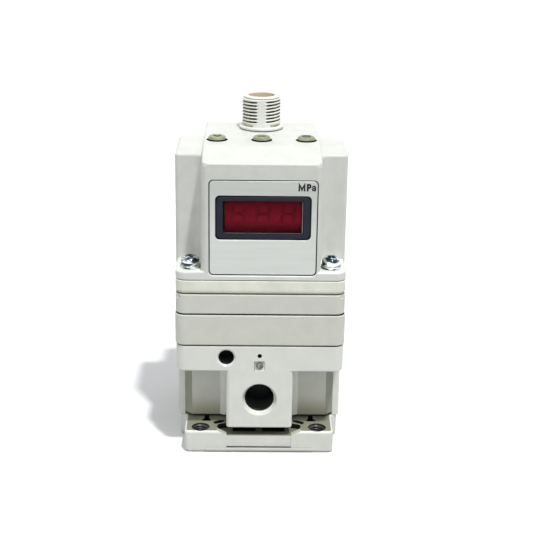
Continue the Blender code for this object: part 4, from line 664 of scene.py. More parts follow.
def plate_finish(look, colour):
    """Paint on the plate, with an olive tone on the faces that look up: partly the plate's own colour and
    partly painted shade from the body above.
    """
    clouds = look.noise(160.0, 4.0, 0.6)
    top = bpy.context.scene.regulator_finishes.plate_top
    facing = look.span(look.split(look.add("NewGeometry").outputs["Normal"], "Z"), 0.0, 1.0, 0.90, 0.985)
    tone = look.blend(facing, look.mottled(clouds, colour, 0.94, 1.05),
                      look.mottled(clouds, top, 0.82, 1.15, 0.25, 0.75))
    look.paint(tone, look.span(look.noise(240.0), 0.38, 0.55),
               look.relief(look.noise(1500.0, 4.0, 0.7), 0.03 * MM, 0.6))


def metal_finish(look, colour, roughness, streak=1.0, tint=None, spread=(0.35, 0.65)):
    """Metal with fine turning marks and a second tone that drifts over it in patches: on the zinc its dark
    patches are painted reflections, on the other metals a faint change of tone.
    """
    clouds = look.noise(620.0, 2.0, 0.5, (0.6, 0.6, 1.6))
    tone = look.ramp(clouds, *spread, tint or shaded(colour, 0.86), colour)
    marks = look.noise(2200.0, 3.0, 0.6, (1.0, 1.0, streak))
    look.paint(tone, look.span(marks, roughness * 0.7, roughness * 1.4),
               look.relief(marks, 0.006 * MM, 0.5), Metallic=1.0)


def plain_plastic(look, colour, roughness, scale=900.0, depth=0.01 * MM, contrast=0.12, specular=0.5):
    """Fine-grained plastic or rubber."""
    tone = look.mottled(look.noise(scale / 4), colour, 1.0 - contrast, 1.0 + contrast)
    grain = look.noise(scale * 3, 2.0, 0.6)
    look.paint(tone, look.span(grain, roughness - 0.06, roughness + 0.08),
               look.relief(grain, depth, 0.5), Specular_IOR_Level=specular)


def film_finish(look, colour):
    """Silvery printed film with a horizontal brush, a faint sheen and a darker upper end."""
    brush = look.noise(900.0, 3.0, 0.6, (0.06, 1.0, 1.0))
    tint = look.height_tint(((LABEL_Z - 4.0 * MM, (1.0, 1.0, 1.0)),
                             (LABEL_HIGH[2] - 3.0 * MM, (0.82, 0.82, 0.81))))
    tone = look.blend(1.0, look.mottled(brush, colour, 0.965, 1.03), tint, "MULTIPLY")
    look.paint(tone, look.span(brush, 0.34, 0.48), look.relief(brush, 0.004 * MM, 0.4),
               Metallic=0.12, Coat_Weight=0.25, Coat_Roughness=0.25)


def window_finish(look, colour):
    """Red tinted pane that lets the digits behind it show faintly."""
    look.paint(look.mottled(look.noise(260.0, 2.0), colour, 0.85, 1.15),
               look.span(look.noise(500.0), 0.08, 0.16),
               look.relief(look.noise(2400.0, 2.0, 0.6), 0.003 * MM, 0.3),
               Specular_IOR_Level=0.10, Alpha=0.25)


def display_finish(look, colour):
    """Red face of the module: brightest in its upper middle, darker towards its foot, by height; painted
    light and shade.
    """
    low, high = MODULE_LOW[2], MODULE_HIGH[2]
    levels = look.height_tint([
        (low + share * (high - low), shaded(colour, factor))
        for share, factor in ((0.0, 0.16), (0.45, 1.0), (0.72, 0.95), (1.0, 0.55))])
    clouds = look.noise(420.0)
    tone = look.blend(1.0, levels, look.ramp(clouds, 0.3, 0.7, (0.86, 0.86, 0.86), (1.0, 1.0, 1.0)),
                      "MULTIPLY")
    look.paint(tone, look.span(clouds, 0.5, 0.7), look.relief(look.noise(2600.0, 2.0), 0.004 * MM, 0.4),
               Specular_IOR_Level=0.1)


# Height tint of the recess finish: darker and more olive towards the foot.
RECESS_STOPS = ((BODY_BOTTOM, (0.62, 0.60, 0.50)), (BODY_BOTTOM + 7.0 * MM, (0.97, 0.97, 0.96)),
                (BODY_TOP, (1.0, 1.0, 1.0)))

# Name: recipe, colour or the setting that holds it, how much lighter it gets, the recipe's options
FINISHES = {
    "cover_skin": (coated_finish, "cover", 1.0, dict(roughness=0.42)),
    # Lighter copy of the cover skin for the flange of the same moulding: painted light.
    "flange_skin": (coated_finish, "cover", 1.12, dict(roughness=0.42)),
    "plug_skin": (coated_finish, "cover", 1.20, dict(roughness=0.40)),
    "board_base_skin": (coated_finish, "board_base", 1.0, dict(roughness=0.45, mottle=0.07)),
    "layer_paint": (coated_finish, "layer", 1.0, dict(roughness=0.42, mottle=0.04)),
    "body_coating": (coated_finish, "body", 1.0, dict(roughness=0.40, mottle=0.035)),
    "recess_coating": (coated_finish, "body_recess", 1.0, dict(roughness=0.45, stops=RECESS_STOPS)),
    "raw_casting": (coated_finish, "raw_casting", 1.0, dict(roughness=0.50, mottle=0.10, grain=0.03 * MM)),
    "plate_coating": (plate_finish, "plate", 1.0, {}),
    "label_film_finish": (film_finish, "label", 1.0, {}),
    "print_ink": (plain_plastic, "print_ink", 1.0, dict(roughness=0.45, specular=0.3)),
    "bezel_skin": (plain_plastic, "bezel", 1.0,
                   dict(roughness=0.38, scale=1400.0, depth=0.006 * MM, specular=0.15)),
    "window_pane": (window_finish, "window", 1.0, {}),
    # Lighter pink on the pane's bevel: painted highlight.
    "window_bevel": (plain_plastic, (0.62, 0.50, 0.50), 1.0, dict(roughness=0.2, contrast=0.3)),
    "display_face": (display_finish, "display", 1.0, {}),
    "digit_bar": (plain_plastic, (0.34, 0.012, 0.032), 1.0, dict(roughness=0.5, specular=0.1)),
    "key_skin": (plain_plastic, "key", 1.0,
                 dict(roughness=0.42, scale=2200.0, depth=0.02 * MM, contrast=0.3)),
    "key_shade": (plain_plastic, "key", 0.35, dict(roughness=0.5, scale=1200.0)),
    # Dark tint patches on the bright zinc: painted reflections.
    "zinc_plate": (metal_finish, "zinc", 1.0,
                   dict(roughness=0.14, tint=(0.030, 0.055, 0.055), spread=(0.44, 0.56))),
    "zinc_shade": (metal_finish, (0.16, 0.19, 0.24), 1.0, dict(roughness=0.25, tint=(0.02, 0.03, 0.05))),
    "pin_carrier_plastic": (plain_plastic, "pin_carrier", 1.0, dict(roughness=0.5)),
    "thread_shade": (plain_plastic, (0.050, 0.043, 0.016), 1.0, dict(roughness=0.6, specular=0.2)),
    "thread_pale": (plain_plastic, (0.17, 0.155, 0.090), 1.0, dict(roughness=0.6, specular=0.2)),
    "neck_shade": (plain_plastic, (0.62, 0.64, 0.54), 1.0, dict(roughness=0.5)),
    "lip_line": (plain_plastic, (0.42, 0.34, 0.26), 1.0, dict(roughness=0.5)),
    "seam_shade": (plain_plastic, (0.010, 0.010, 0.012), 1.0, dict(roughness=0.7, specular=0.1)),
    # Mid-dark for the level faces in the thinner seams: painted shade.
    "soft_seam": (plain_plastic, (0.30, 0.31, 0.25), 1.0, dict(roughness=0.6, specular=0.2)),
    "pocket_shade": (plain_plastic, (0.012, 0.012, 0.010), 1.0,
                     dict(roughness=0.7, scale=600.0, specular=0.1)),
    "machined_bore": (metal_finish, (0.16, 0.17, 0.20), 1.0, dict(roughness=0.30)),
    "mark_face": (plain_plastic, (0.22, 0.23, 0.20), 1.0, dict(roughness=0.5, specular=0.2)),
    # Dark grey for two walls of the port mark's pocket: painted shade.
    "mark_edge": (plain_plastic, (0.10, 0.10, 0.08), 1.0, dict(roughness=0.6, specular=0.2)),
    "bore_shade": (plain_plastic, (0.012, 0.013, 0.013), 1.0,
                   dict(roughness=0.45, scale=700.0, specular=0.2)),
    # Near-black for the mounting holes' threads: painted shade.
    "cut_thread": (plain_plastic, (0.035, 0.037, 0.036), 1.0,
                   dict(roughness=0.32, scale=800.0, contrast=0.2)),
    "bright_ring": (plain_plastic, (0.80, 0.83, 0.85), 1.0,
                    dict(roughness=0.3, scale=800.0, contrast=0.15)),
    "gold_plate": (metal_finish, (0.86, 0.64, 0.28), 1.0, dict(roughness=0.2)),
    "turned_steel": (metal_finish, (0.60, 0.60, 0.61), 1.0, dict(roughness=0.3, streak=12.0)),
    "turned_brass": (metal_finish, (0.74, 0.54, 0.24), 1.0, dict(roughness=0.28, streak=12.0)),
    "seal_rubber": (plain_plastic, (0.018, 0.018, 0.019), 1.0, dict(roughness=0.6)),
    "board_mask": (plain_plastic, (0.02, 0.13, 0.05), 1.0,
                   dict(roughness=0.35, scale=400.0, depth=0.02 * MM, contrast=0.3)),
    "black_housing": (plain_plastic, (0.025, 0.025, 0.027), 1.0, dict(roughness=0.48)),
}


def finish(name):
    """A finish by name, made the first time it is asked for."""
    if name not in bpy.data.materials:
        recipe, colour, factor, options = FINISHES[name]
        if isinstance(colour, str):
            colour = getattr(bpy.context.scene.regulator_finishes, colour)
        recipe(Look(name), shaded(colour, factor), **options)
    return bpy.data.materials[name]


# Pieces


class RegulatorOperator:
    """What the operators share; each one makes its pieces in make()."""
    bl_options = {"REGISTER", "UNDO"}

    def execute(self, context):
        self.make(context.scene)
        return {"FINISHED"}


class REGULATOR_OT_cover(RegulatorOperator, bpy.types.Operator):
    """Cover: flange, column with two wings and the raised middle of the top, hollow inside"""
    bl_idname = "regulator.cover"
    bl_label = "Cover"

    @staticmethod
    def corners(proud=0.45 * MM):
        """Column from front to back with a wing on each side."""
        return four_fold([
            (HALF + proud, 12.2 * MM, 1.4 * MM),
            (17.5 * MM, 12.2 * MM, 3.0 * MM),
            (17.5 * MM, HALF, 2.0 * MM)])

    @classmethod
    def upper(cls, bottom, steps, edges):
        """Column and wings: the outline moves inwards by the draft and round the top edge, and
        the wings stand further out by the draft, so that their sides stay upright."""
        draft = 0.25 * MM
        levels = edge_levels(bottom, COVER_TOP, 0.0, 0.9 * MM, draft, edges)
        return carried([rounded_outline(cls.corners(0.45 * MM + min(inwards, draft)), steps, inwards)
                        for inwards in levels[:, 0]], 2, levels[:, 1])

    @staticmethod
    def side_profile(wall, steps):
        """Side of the raised middle as (y, z): two slopes up to a level top."""
        end = wall if wall else 0.27 * MM
        low = COVER_TOP - wall
        soft = 0.0 if wall else 0.35 * MM
        base = COVER_TOP - 2.0 * MM - wall
        return rounded_outline([
            (FRONT + end, base, 0.0), (REAR - end, base, 0.0), (REAR - end, low, soft),
            (REAR - 6.5 * MM, PLATEAU - wall, 2.0 * MM),
            (FRONT + 9.3 * MM, PLATEAU - wall, 2.0 * MM),
            (FRONT + end, low, soft)], steps)

    @classmethod
    def crown(cls):
        """Raised middle: at each y a section as high as the side profile and as wide as a plan
        with round corners, flat + sqrt(r * r - past * past), its upper edges quarter circles."""
        half, corner, edge = 17.2 * MM, 2.0 * MM, 0.6 * MM
        reach = HALF - 0.27 * MM
        profile = cls.side_profile(0.0, 10)
        top = profile[profile[:, 1] > COVER_TOP - 0.4 * MM]
        top = top[np.argsort(top[:, 0])]
        ends = reach - corner * (1 - np.sin(np.linspace(0.0, math.pi / 2, 9)))
        y = np.unique(np.round(np.concatenate([
            -ends, ends, np.linspace(corner - reach, reach - corner, 70)]), 7))
        past = np.clip(np.abs(y) - (reach - corner), 0.0, corner)
        width = (half - corner + np.sqrt(corner ** 2 - past ** 2))[:, None]
        height = np.interp(y, top[:, 0], top[:, 1])[:, None]
        turn = np.linspace(0.0, math.pi / 2, 7)[None, :]
        side = width - edge * (1 - np.cos(turn))
        rise = height - edge * (1 - np.sin(turn))
        base = np.full_like(width, COVER_TOP - 2.0 * MM)
        x = np.concatenate([-width, width, side, -side[:, ::-1]], axis=1)
        z = np.concatenate([base, base, rise, rise[:, ::-1]], axis=1)
        return capped(np.stack([x, np.broadcast_to(y[:, None], x.shape), z], axis=-1))

    def make(self, scene):
        fine = scene.regulator_castings
        steps, edges = fine.corner_steps, fine.edge_steps
        skin = finish("cover_skin")
        low = COVER_LOW[2]
        flange = raised(rectangle(2 * HALF, 2 * HALF, 3.0 * MM),
                        edge_levels(low, FLANGE_TOP, 0.15 * MM, 0.6 * MM, steps=edges), steps)
        cavity = raised(self.corners(), [(WALL, low - OVERCUT), (WALL + 0.25 * MM, COVER_TOP - WALL)], 3)
        under_crown = carried([self.side_profile(WALL, 3)] * 2, 0, (-15.5 * MM, 15.5 * MM))
        size = LABEL_HIGH - LABEL_LOW
        recess = raised(rectangle(size[0] + 2 * GAP, size[2] + 2 * GAP, 1.3 * MM), [
            (-0.3 * MM, -0.4 * MM), (-0.3 * MM, 0.0), (0.0, 0.3 * MM), (0.0, 0.8 * MM)])
        size = BEZEL_HIGH - BEZEL_LOW
        opening = raised(rectangle(size[0] + 2 * GAP, size[2] + 2 * GAP, 1.3 * MM),
                         [(0.0, -OVERCUT), (0.0, 4.0 * MM)])
        cuts = [
            # The flange gets the lighter copy of the cover skin: painted light.
            join(flange, finish("flange_skin")),
            join(self.crown(), skin),
            cut(cavity, skin),
            cut(under_crown, skin),
            cut(aimed(recess, (LABEL_X, FRONT, LABEL_Z), INTO), skin),
            cut(aimed(opening, (LABEL_X, FRONT, BEZEL_Z), INTO), skin),
            drill(skin, (0.0, CONNECTOR_Y, PLATEAU), DOWN, 5.75 * MM, 4.0 * MM, sides=64),
        ]
        for x in KEYS.values():
            cuts.append(drill(skin, (x, KEY_Y, PLATEAU), DOWN, 3.15 * MM, 4.0 * MM, sides=64))
            cuts.append(drill(skin, (x, KEY_Y, COVER_TOP - WALL), UP, 3.65 * MM, 1.06 * MM))
        cuts += [drill(skin, (x, y, FLANGE_TOP), DOWN, SCREW_HOLE, 5.0 * MM)
                 for x, y in four_places(SCREW_X, SCREW_Y)]
        piece = carve(make_object("cover_shell", [self.upper(low + 1.0 * MM, steps, edges)], skin), cuts)
        self.shade_gaps(piece)
        soften(piece)
        settle(piece, replaced=("cover",))

    @staticmethod
    def shade_gaps(piece):
        """Darkens the walls of the narrow gaps round the label, the display and the keys."""
        centre, normal = face_table(piece)
        behind = centre[:, 1] - FRONT
        beside = np.abs(centre[:, 0] - LABEL_X)
        label = ((behind > 0.32 * MM) & (behind < 3.5 * MM) & (beside < 15.8 * MM)
                 & (np.abs(centre[:, 2] - LABEL_Z) < 14.6 * MM))
        holes = np.zeros(len(centre), bool)
        for x in KEYS.values():
            reach = np.hypot(centre[:, 0] - x, centre[:, 1] - KEY_Y)
            holes |= (reach < 3.25 * MM) & (np.abs(normal[:, 2]) < 0.5)
        repaint(piece, finish("seam_shade"), label | holes)
        # Painted shade on the cover's lower face at its seam.
        shade_seam(piece, finish("soft_seam"), [COVER_LOW[2]])


class REGULATOR_OT_layers(RegulatorOperator, bpy.types.Operator):
    """Pilot block, valve manifold and board base: three plates with screw holes and seal grooves"""
    bl_idname = "regulator.layers"
    bl_label = "Stacked layers"

    # Node, piece, finish, slot, round of the lower and the upper edge in mm, and how far the
    # sides run past the node below and above, in mm, which narrows the seams
    LAYERS = (
        ("pilot_block", "pilot_layer", "layer_paint", "layer_grey", 0.5, 0.35, 0.0, 0.0),
        ("valve_manifold", "manifold_layer", "layer_paint", "layer_grey", 0.4, 0.3, 0.0, 0.06),
        ("board_base", "board_base_layer", "board_base_skin", "base_ivory", 1.3, 0.35, 0.14, 0.12))

    def make(self, scene):
        for node, name, look, slot, low_round, high_round, below, above in self.LAYERS:
            skin = finish(look)
            low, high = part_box(node)
            top = (low[2] + 4.0 * MM if node == "board_base" else high[2]) + above * MM
            low[2] -= below * MM
            form = raised(rectangle(high[0] - low[0], high[1] - low[1], 2.8 * MM),
                          edge_levels(low[2], top, low_round * MM, high_round * MM,
                                      steps=scene.regulator_castings.edge_steps),
                          scene.regulator_castings.corner_steps)
            cuts = [drill(skin, (x, y, low[2]), UP, SCREW_HOLE, 12.0 * MM)
                    for x, y in four_places(SCREW_X, SCREW_Y)]
            cuts += [drill(skin, (x, 3.7 * MM, low[2]), UP, 0.8 * MM, 12.0 * MM, sides=24)
                     for x in (-10.0 * MM, 10.0 * MM)]
            cuts += self.own_steps(node, low, high, top, skin)
            # Painted shade on the level faces at each seam, black or mid-dark.
            seams = {
                "pilot_block": [("seam_shade", [low[2], top])],
                "valve_manifold": [("seam_shade", [low[2]]), ("soft_seam", [top])],
                "board_base": [("soft_seam", [low[2], top])]}
            piece = carve(make_object(name, [form], skin), cuts)
            for shade, heights in seams[node]:
                shade_seam(piece, finish(shade), heights)
            soften(piece)
            settle(piece, replaced=(node,))

    @classmethod
    def own_steps(cls, node, low, high, top, skin):
        """Carving steps of one layer alone. Board base: the seal groove along the middle of the
        cover's wall, and the board's posts. Pilot block: the room above the diaphragm, and a
        square seal groove. Valve manifold: a notch at each upper corner, and such a groove."""
        if node == "board_base":
            sides = [raised(REGULATOR_OT_cover.corners(0.0),
                            [(wall, top - 1.3 * MM), (wall, top + OVERCUT)], 4)
                     for wall in (0.3 * MM, 1.7 * MM)]
            return [cls.groove(*sides, skin)] + [join(rail, skin) for rail in cls.board_rails(top)]
        if node == "pilot_block":
            return [drill(skin, (0, 0, low[2]), UP, 19.0 * MM, 5.6 * MM, sides=64),
                    cls.square_groove(top, skin)]
        notches = [
            box_form((x - 1.3 * MM, y - 1.3 * MM, top - 1.3 * MM),
                     (x + 1.3 * MM, y + 1.3 * MM, top + OVERCUT))
            for x in (low[0], high[0]) for y in (low[1], high[1])]
        return [cut(notch, skin) for notch in notches] + [cls.square_groove(top, skin)]

    @staticmethod
    def groove(outer, inner, skin):
        """Carving step for the ring between two forms."""
        return cut(carved_form(outer, [cut(inner, skin)], skin), skin)

    @classmethod
    def square_groove(cls, top, skin):
        """A groove 1.3 mm deep between two rounded squares."""
        sides = []
        for inset in (7.8 * MM, 10.0 * MM):
            size = 2 * (HALF - inset)
            sides.append(raised(rectangle(size, size, max(12.0 * MM - inset, 1.2 * MM)),
                                [(0.0, top - 1.3 * MM), (0.0, top + OVERCUT)], 6))
        return cls.groove(*sides, skin)

    @staticmethod
    def board_rails(top):
        """Two slotted posts that hold the lower corners of the control board."""
        low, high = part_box("control_board")
        forms = []
        for side in (-1, 1):
            outer = side * (high[0] + GAP)
            inner = outer - side * 3.0 * MM
            for near, far in ((low[1] - GAP, low[1] - 1.5 * MM), (high[1] + GAP, high[1] + 1.5 * MM)):
                forms.append(box_form((outer, near, top - 0.5 * MM), (inner, far, top + 7.0 * MM)))
        return forms


class REGULATOR_OT_valve_body(RegulatorOperator, bpy.types.Operator):
    """Valve body: square band on a cross of four bosses, with its ports, holes and air chambers"""
    bl_idname = "regulator.valve_body"
    bl_label = "Valve body"

    def make(self, scene):
        fine = scene.regulator_castings
        steps, edges, sides = fine.corner_steps, fine.edge_steps, fine.bore_sides
        paint, bore, shade = finish("body_coating"), finish("machined_bore"), finish("bore_shade")
        band_z = BODY_TOP - 8.15 * MM
        cross = four_fold([
            (HALF, 13.0 * MM, 0.6 * MM),
            (HALF - 2.0 * MM, 13.0 * MM, 0.3 * MM),
            (HALF - 4.2 * MM, 15.0 * MM, 0.6 * MM),
            (10.0 * MM, 15.0 * MM, 2.5 * MM),
            (10.0 * MM, HALF, 1.2 * MM)])
        lower = raised(cross, edge_levels(BODY_BOTTOM, band_z + 1.0 * MM, 0.5 * MM, 0.0, steps=edges),
                       steps)
        band = raised(rectangle(2 * HALF, 2 * HALF, 2.8 * MM),
                      edge_levels(band_z, BODY_TOP, 0.6 * MM, 0.35 * MM, steps=edges), steps)
        chamber = turned([
            (0.0, BODY_BOTTOM - OVERCUT), (9.3 * MM, BODY_BOTTOM - OVERCUT),
            (9.3 * MM, 17.3 * MM), (5.5 * MM, 17.3 * MM), (5.25 * MM, 16.8 * MM),
            (5.0 * MM, 17.3 * MM), (5.0 * MM, 19.5 * MM), (9.0 * MM, 19.5 * MM),
            (9.0 * MM, 27.3 * MM), (3.3 * MM, 27.3 * MM), (3.3 * MM, 31.0 * MM),
            (19.0 * MM, 31.0 * MM), (19.0 * MM, BODY_TOP - 0.9 * MM),
            (21.8 * MM, BODY_TOP - 0.9 * MM), (21.8 * MM, BODY_TOP + OVERCUT),
            (0.0, BODY_TOP + OVERCUT)], 64)
        countersink = turned([(0.0, -OVERCUT), (5.82 * MM, -OVERCUT), (4.4 * MM, 1.6 * MM),
                              (0.0, 1.6 * MM)], sides)
        pocket = raised(rectangle(3.1 * MM, 3.1 * MM, 0.25 * MM), [
            (-0.12 * MM, -0.5 * MM), (0.0, 0.1 * MM), (0.12 * MM, 0.5 * MM)], 4)
        cuts = [
            join(band, paint),
            join(self.skirt(cross, paint, steps), paint),
            cut(chamber, bore),
            cut(aimed(countersink, GAUGE_PORT, INTO), paint),
            cut(aimed(disc(4.88 * MM, 1.56 * MM, 10.0 * MM, sides), GAUGE_PORT, INTO), shade),
            drill(paint, (-HALF, 0, PORT_Z), RIGHT, 8.36 * MM, 11.0 * MM, 0.04 * MM, sides),
            drill(paint, (HALF, 0, PORT_Z), LEFT, 8.36 * MM, 11.0 * MM, 0.04 * MM, sides),
            drill(paint, (0, REAR, REAR_PORT_Z), OUT, 6.56 * MM, 10.0 * MM, 0.04 * MM, sides),
            drill(finish("bright_ring"), PILOT_EXHAUST, INTO, 2.34 * MM, 0.75 * MM, 0.5 * MM, 64),
            cut(aimed(disc(2.62 * MM, 0.70 * MM, 6.3 * MM, 64), PILOT_EXHAUST, INTO), shade),
            drill(shade, (0, FRONT, BODY_TOP - 3.05 * MM), INTO, 0.65 * MM, 3.0 * MM),
            drill(bore, (-14.0 * MM, 0, 15.8 * MM), RIGHT, 2.6 * MM, 6.0 * MM),
            drill(bore, (14.0 * MM, 0, 23.4 * MM), LEFT, 2.6 * MM, 6.0 * MM),
            drill(bore, (0, -15.0 * MM, 21.1 * MM), INTO, 1.5 * MM, 7.0 * MM),
            drill(bore, (0, 18.0 * MM, BODY_BOTTOM), UP, 2.0 * MM, REAR_PORT_Z - BODY_BOTTOM),
            cut(aimed(pocket, (0.0, FRONT, MARK_Z), INTO), paint),
        ]
        for x, y in four_places(1, 1):
            foot = box_form((x * 23.0 * MM, y * 12.5 * MM, BODY_BOTTOM - 1.12 * MM),
                            (x * 24.9 * MM, y * 12.95 * MM, BODY_BOTTOM + 0.7 * MM))
            cuts.append(join(foot, paint))
        for x, y in four_places(1, 1):
            cuts.append(drill(bore, (x * SCREW_X, y * SCREW_Y, BODY_TOP), DOWN, SCREW_HOLE, 5.3 * MM,
                              sides=24))
            cuts.append(drill(bore, (x * BASE_SCREW_X, y * BASE_SCREW_Y, BODY_BOTTOM), UP, SCREW_HOLE,
                              9.3 * MM, sides=24))
        piece = carve(make_object("valve_body_casting", [lower], paint), cuts)
        self.paint_recesses(piece, band_z)
        shade_seam(piece, finish("seam_shade"), [BODY_BOTTOM, BODY_TOP])
        soften(piece)
        settle(piece, replaced=("valve_body",))
        self.port_mark()
        self.gasket(cross, steps)

    @staticmethod
    def skirt(cross, paint, steps):
        """Lip round the casting's foot that hides the gasket's edge, left out below the front and
        rear bosses."""
        z = BODY_BOTTOM
        ring = raised(cross, [(0.06 * MM, z - 0.22 * MM), (0.0, z - 0.16 * MM), (0.0, z + 0.7 * MM)], steps)
        inner = raised(cross, [(0.42 * MM, z - OVERCUT), (0.42 * MM, z + 0.1 * MM)], steps)
        return carved_form(ring, [cut(inner, paint)] + [
            cut(box_form((-12.2 * MM, side * 15.8 * MM, z - OVERCUT),
                         (12.2 * MM, side * (HALF + OVERCUT), z + OVERCUT)), paint)
            for side in (-1, 1)], paint)

    @staticmethod
    def gasket(cross, steps):
        """Gasket without the tongues that would hang over the plate's low middles."""
        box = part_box("base_gasket")
        rubber = finish("seal_rubber")
        low, high = box[0][2], box[1][2]
        cuts = [cut(box_form((-9.7 * MM, side * 16.2 * MM, low - OVERCUT),
                             (9.7 * MM, side * (HALF + OVERCUT), high + OVERCUT)), rubber)
                for side in (-1, 1)]
        cuts.append(cut(disc(9.6 * MM, low - OVERCUT, high + OVERCUT, 64), rubber))
        cuts += [drill(rubber, (x, y, low - 0.5 * MM), UP, SCREW_HOLE, 3.0 * MM, sides=24)
                 for x, y in four_places(BASE_SCREW_X, BASE_SCREW_Y)]
        form = raised(cross, [(0.5 * MM, low), (0.5 * MM, high)], steps)
        piece = carve(make_object("base_gasket_sheet", [form], rubber), cuts)
        settle(piece, replaced=("base_gasket",))

    @staticmethod
    def paint_recesses(piece, band_z):
        """Painted shade on the recesses' back walls, olive on the slanting strips beside them, and painted
        shade on two walls of the port mark's pocket."""
        centre, normal = face_table(piece)
        below = (centre[:, 2] < band_z + 0.1 * MM) & (np.abs(normal[:, 2]) < 0.5)
        across, along = np.abs(centre[:, 0]), np.abs(centre[:, 1])
        hollow = (across > 9.9 * MM) & (across < 23.2 * MM) & (along > 12.0 * MM) & (along < 24.0 * MM)
        slanting = hollow & (across > 20.6 * MM) & (along < 15.2 * MM)
        slanting &= (np.abs(normal[:, 0]) > 0.3) & (np.abs(normal[:, 1]) > 0.3)
        back = hollow & (along > 14.5 * MM) & ~slanting & (np.abs(normal[:, 1]) > 0.97)
        # Painted shade on the recesses' back walls.
        repaint(piece, finish("recess_coating"), below & back)
        repaint(piece, finish("raw_casting"), below & slanting)
        pocket = (across < 1.75 * MM) & (np.abs(centre[:, 2] - MARK_Z) < 1.75 * MM)
        pocket &= (centre[:, 1] < FRONT + 0.6 * MM) & (np.abs(normal[:, 1]) < 0.9)
        # Painted shade on the pocket walls that face down and towards +X.
        repaint(piece, finish("mark_edge"), pocket & ((normal[:, 2] < -0.3) | (normal[:, 0] > 0.3)))

    @staticmethod
    def port_mark():
        """Raised port mark in the square pocket: an open ring with a short bar."""
        turn = np.linspace(math.radians(40.0), math.radians(340.0), 25)
        ring = np.column_stack([0.88 * MM * np.cos(turn), MARK_Z + 0.88 * MM * np.sin(turn)])
        bar = np.array([(0.15 * MM, MARK_Z - 0.1 * MM), (0.88 * MM, MARK_Z - 0.1 * MM)])
        forms = [ribbon(path, 0.2 * MM, FRONT + 0.5 * MM, 0.38 * MM) for path in (ring, bar)]
        settle(make_object("gauge_port_mark", forms, finish("mark_face"), 25.0))


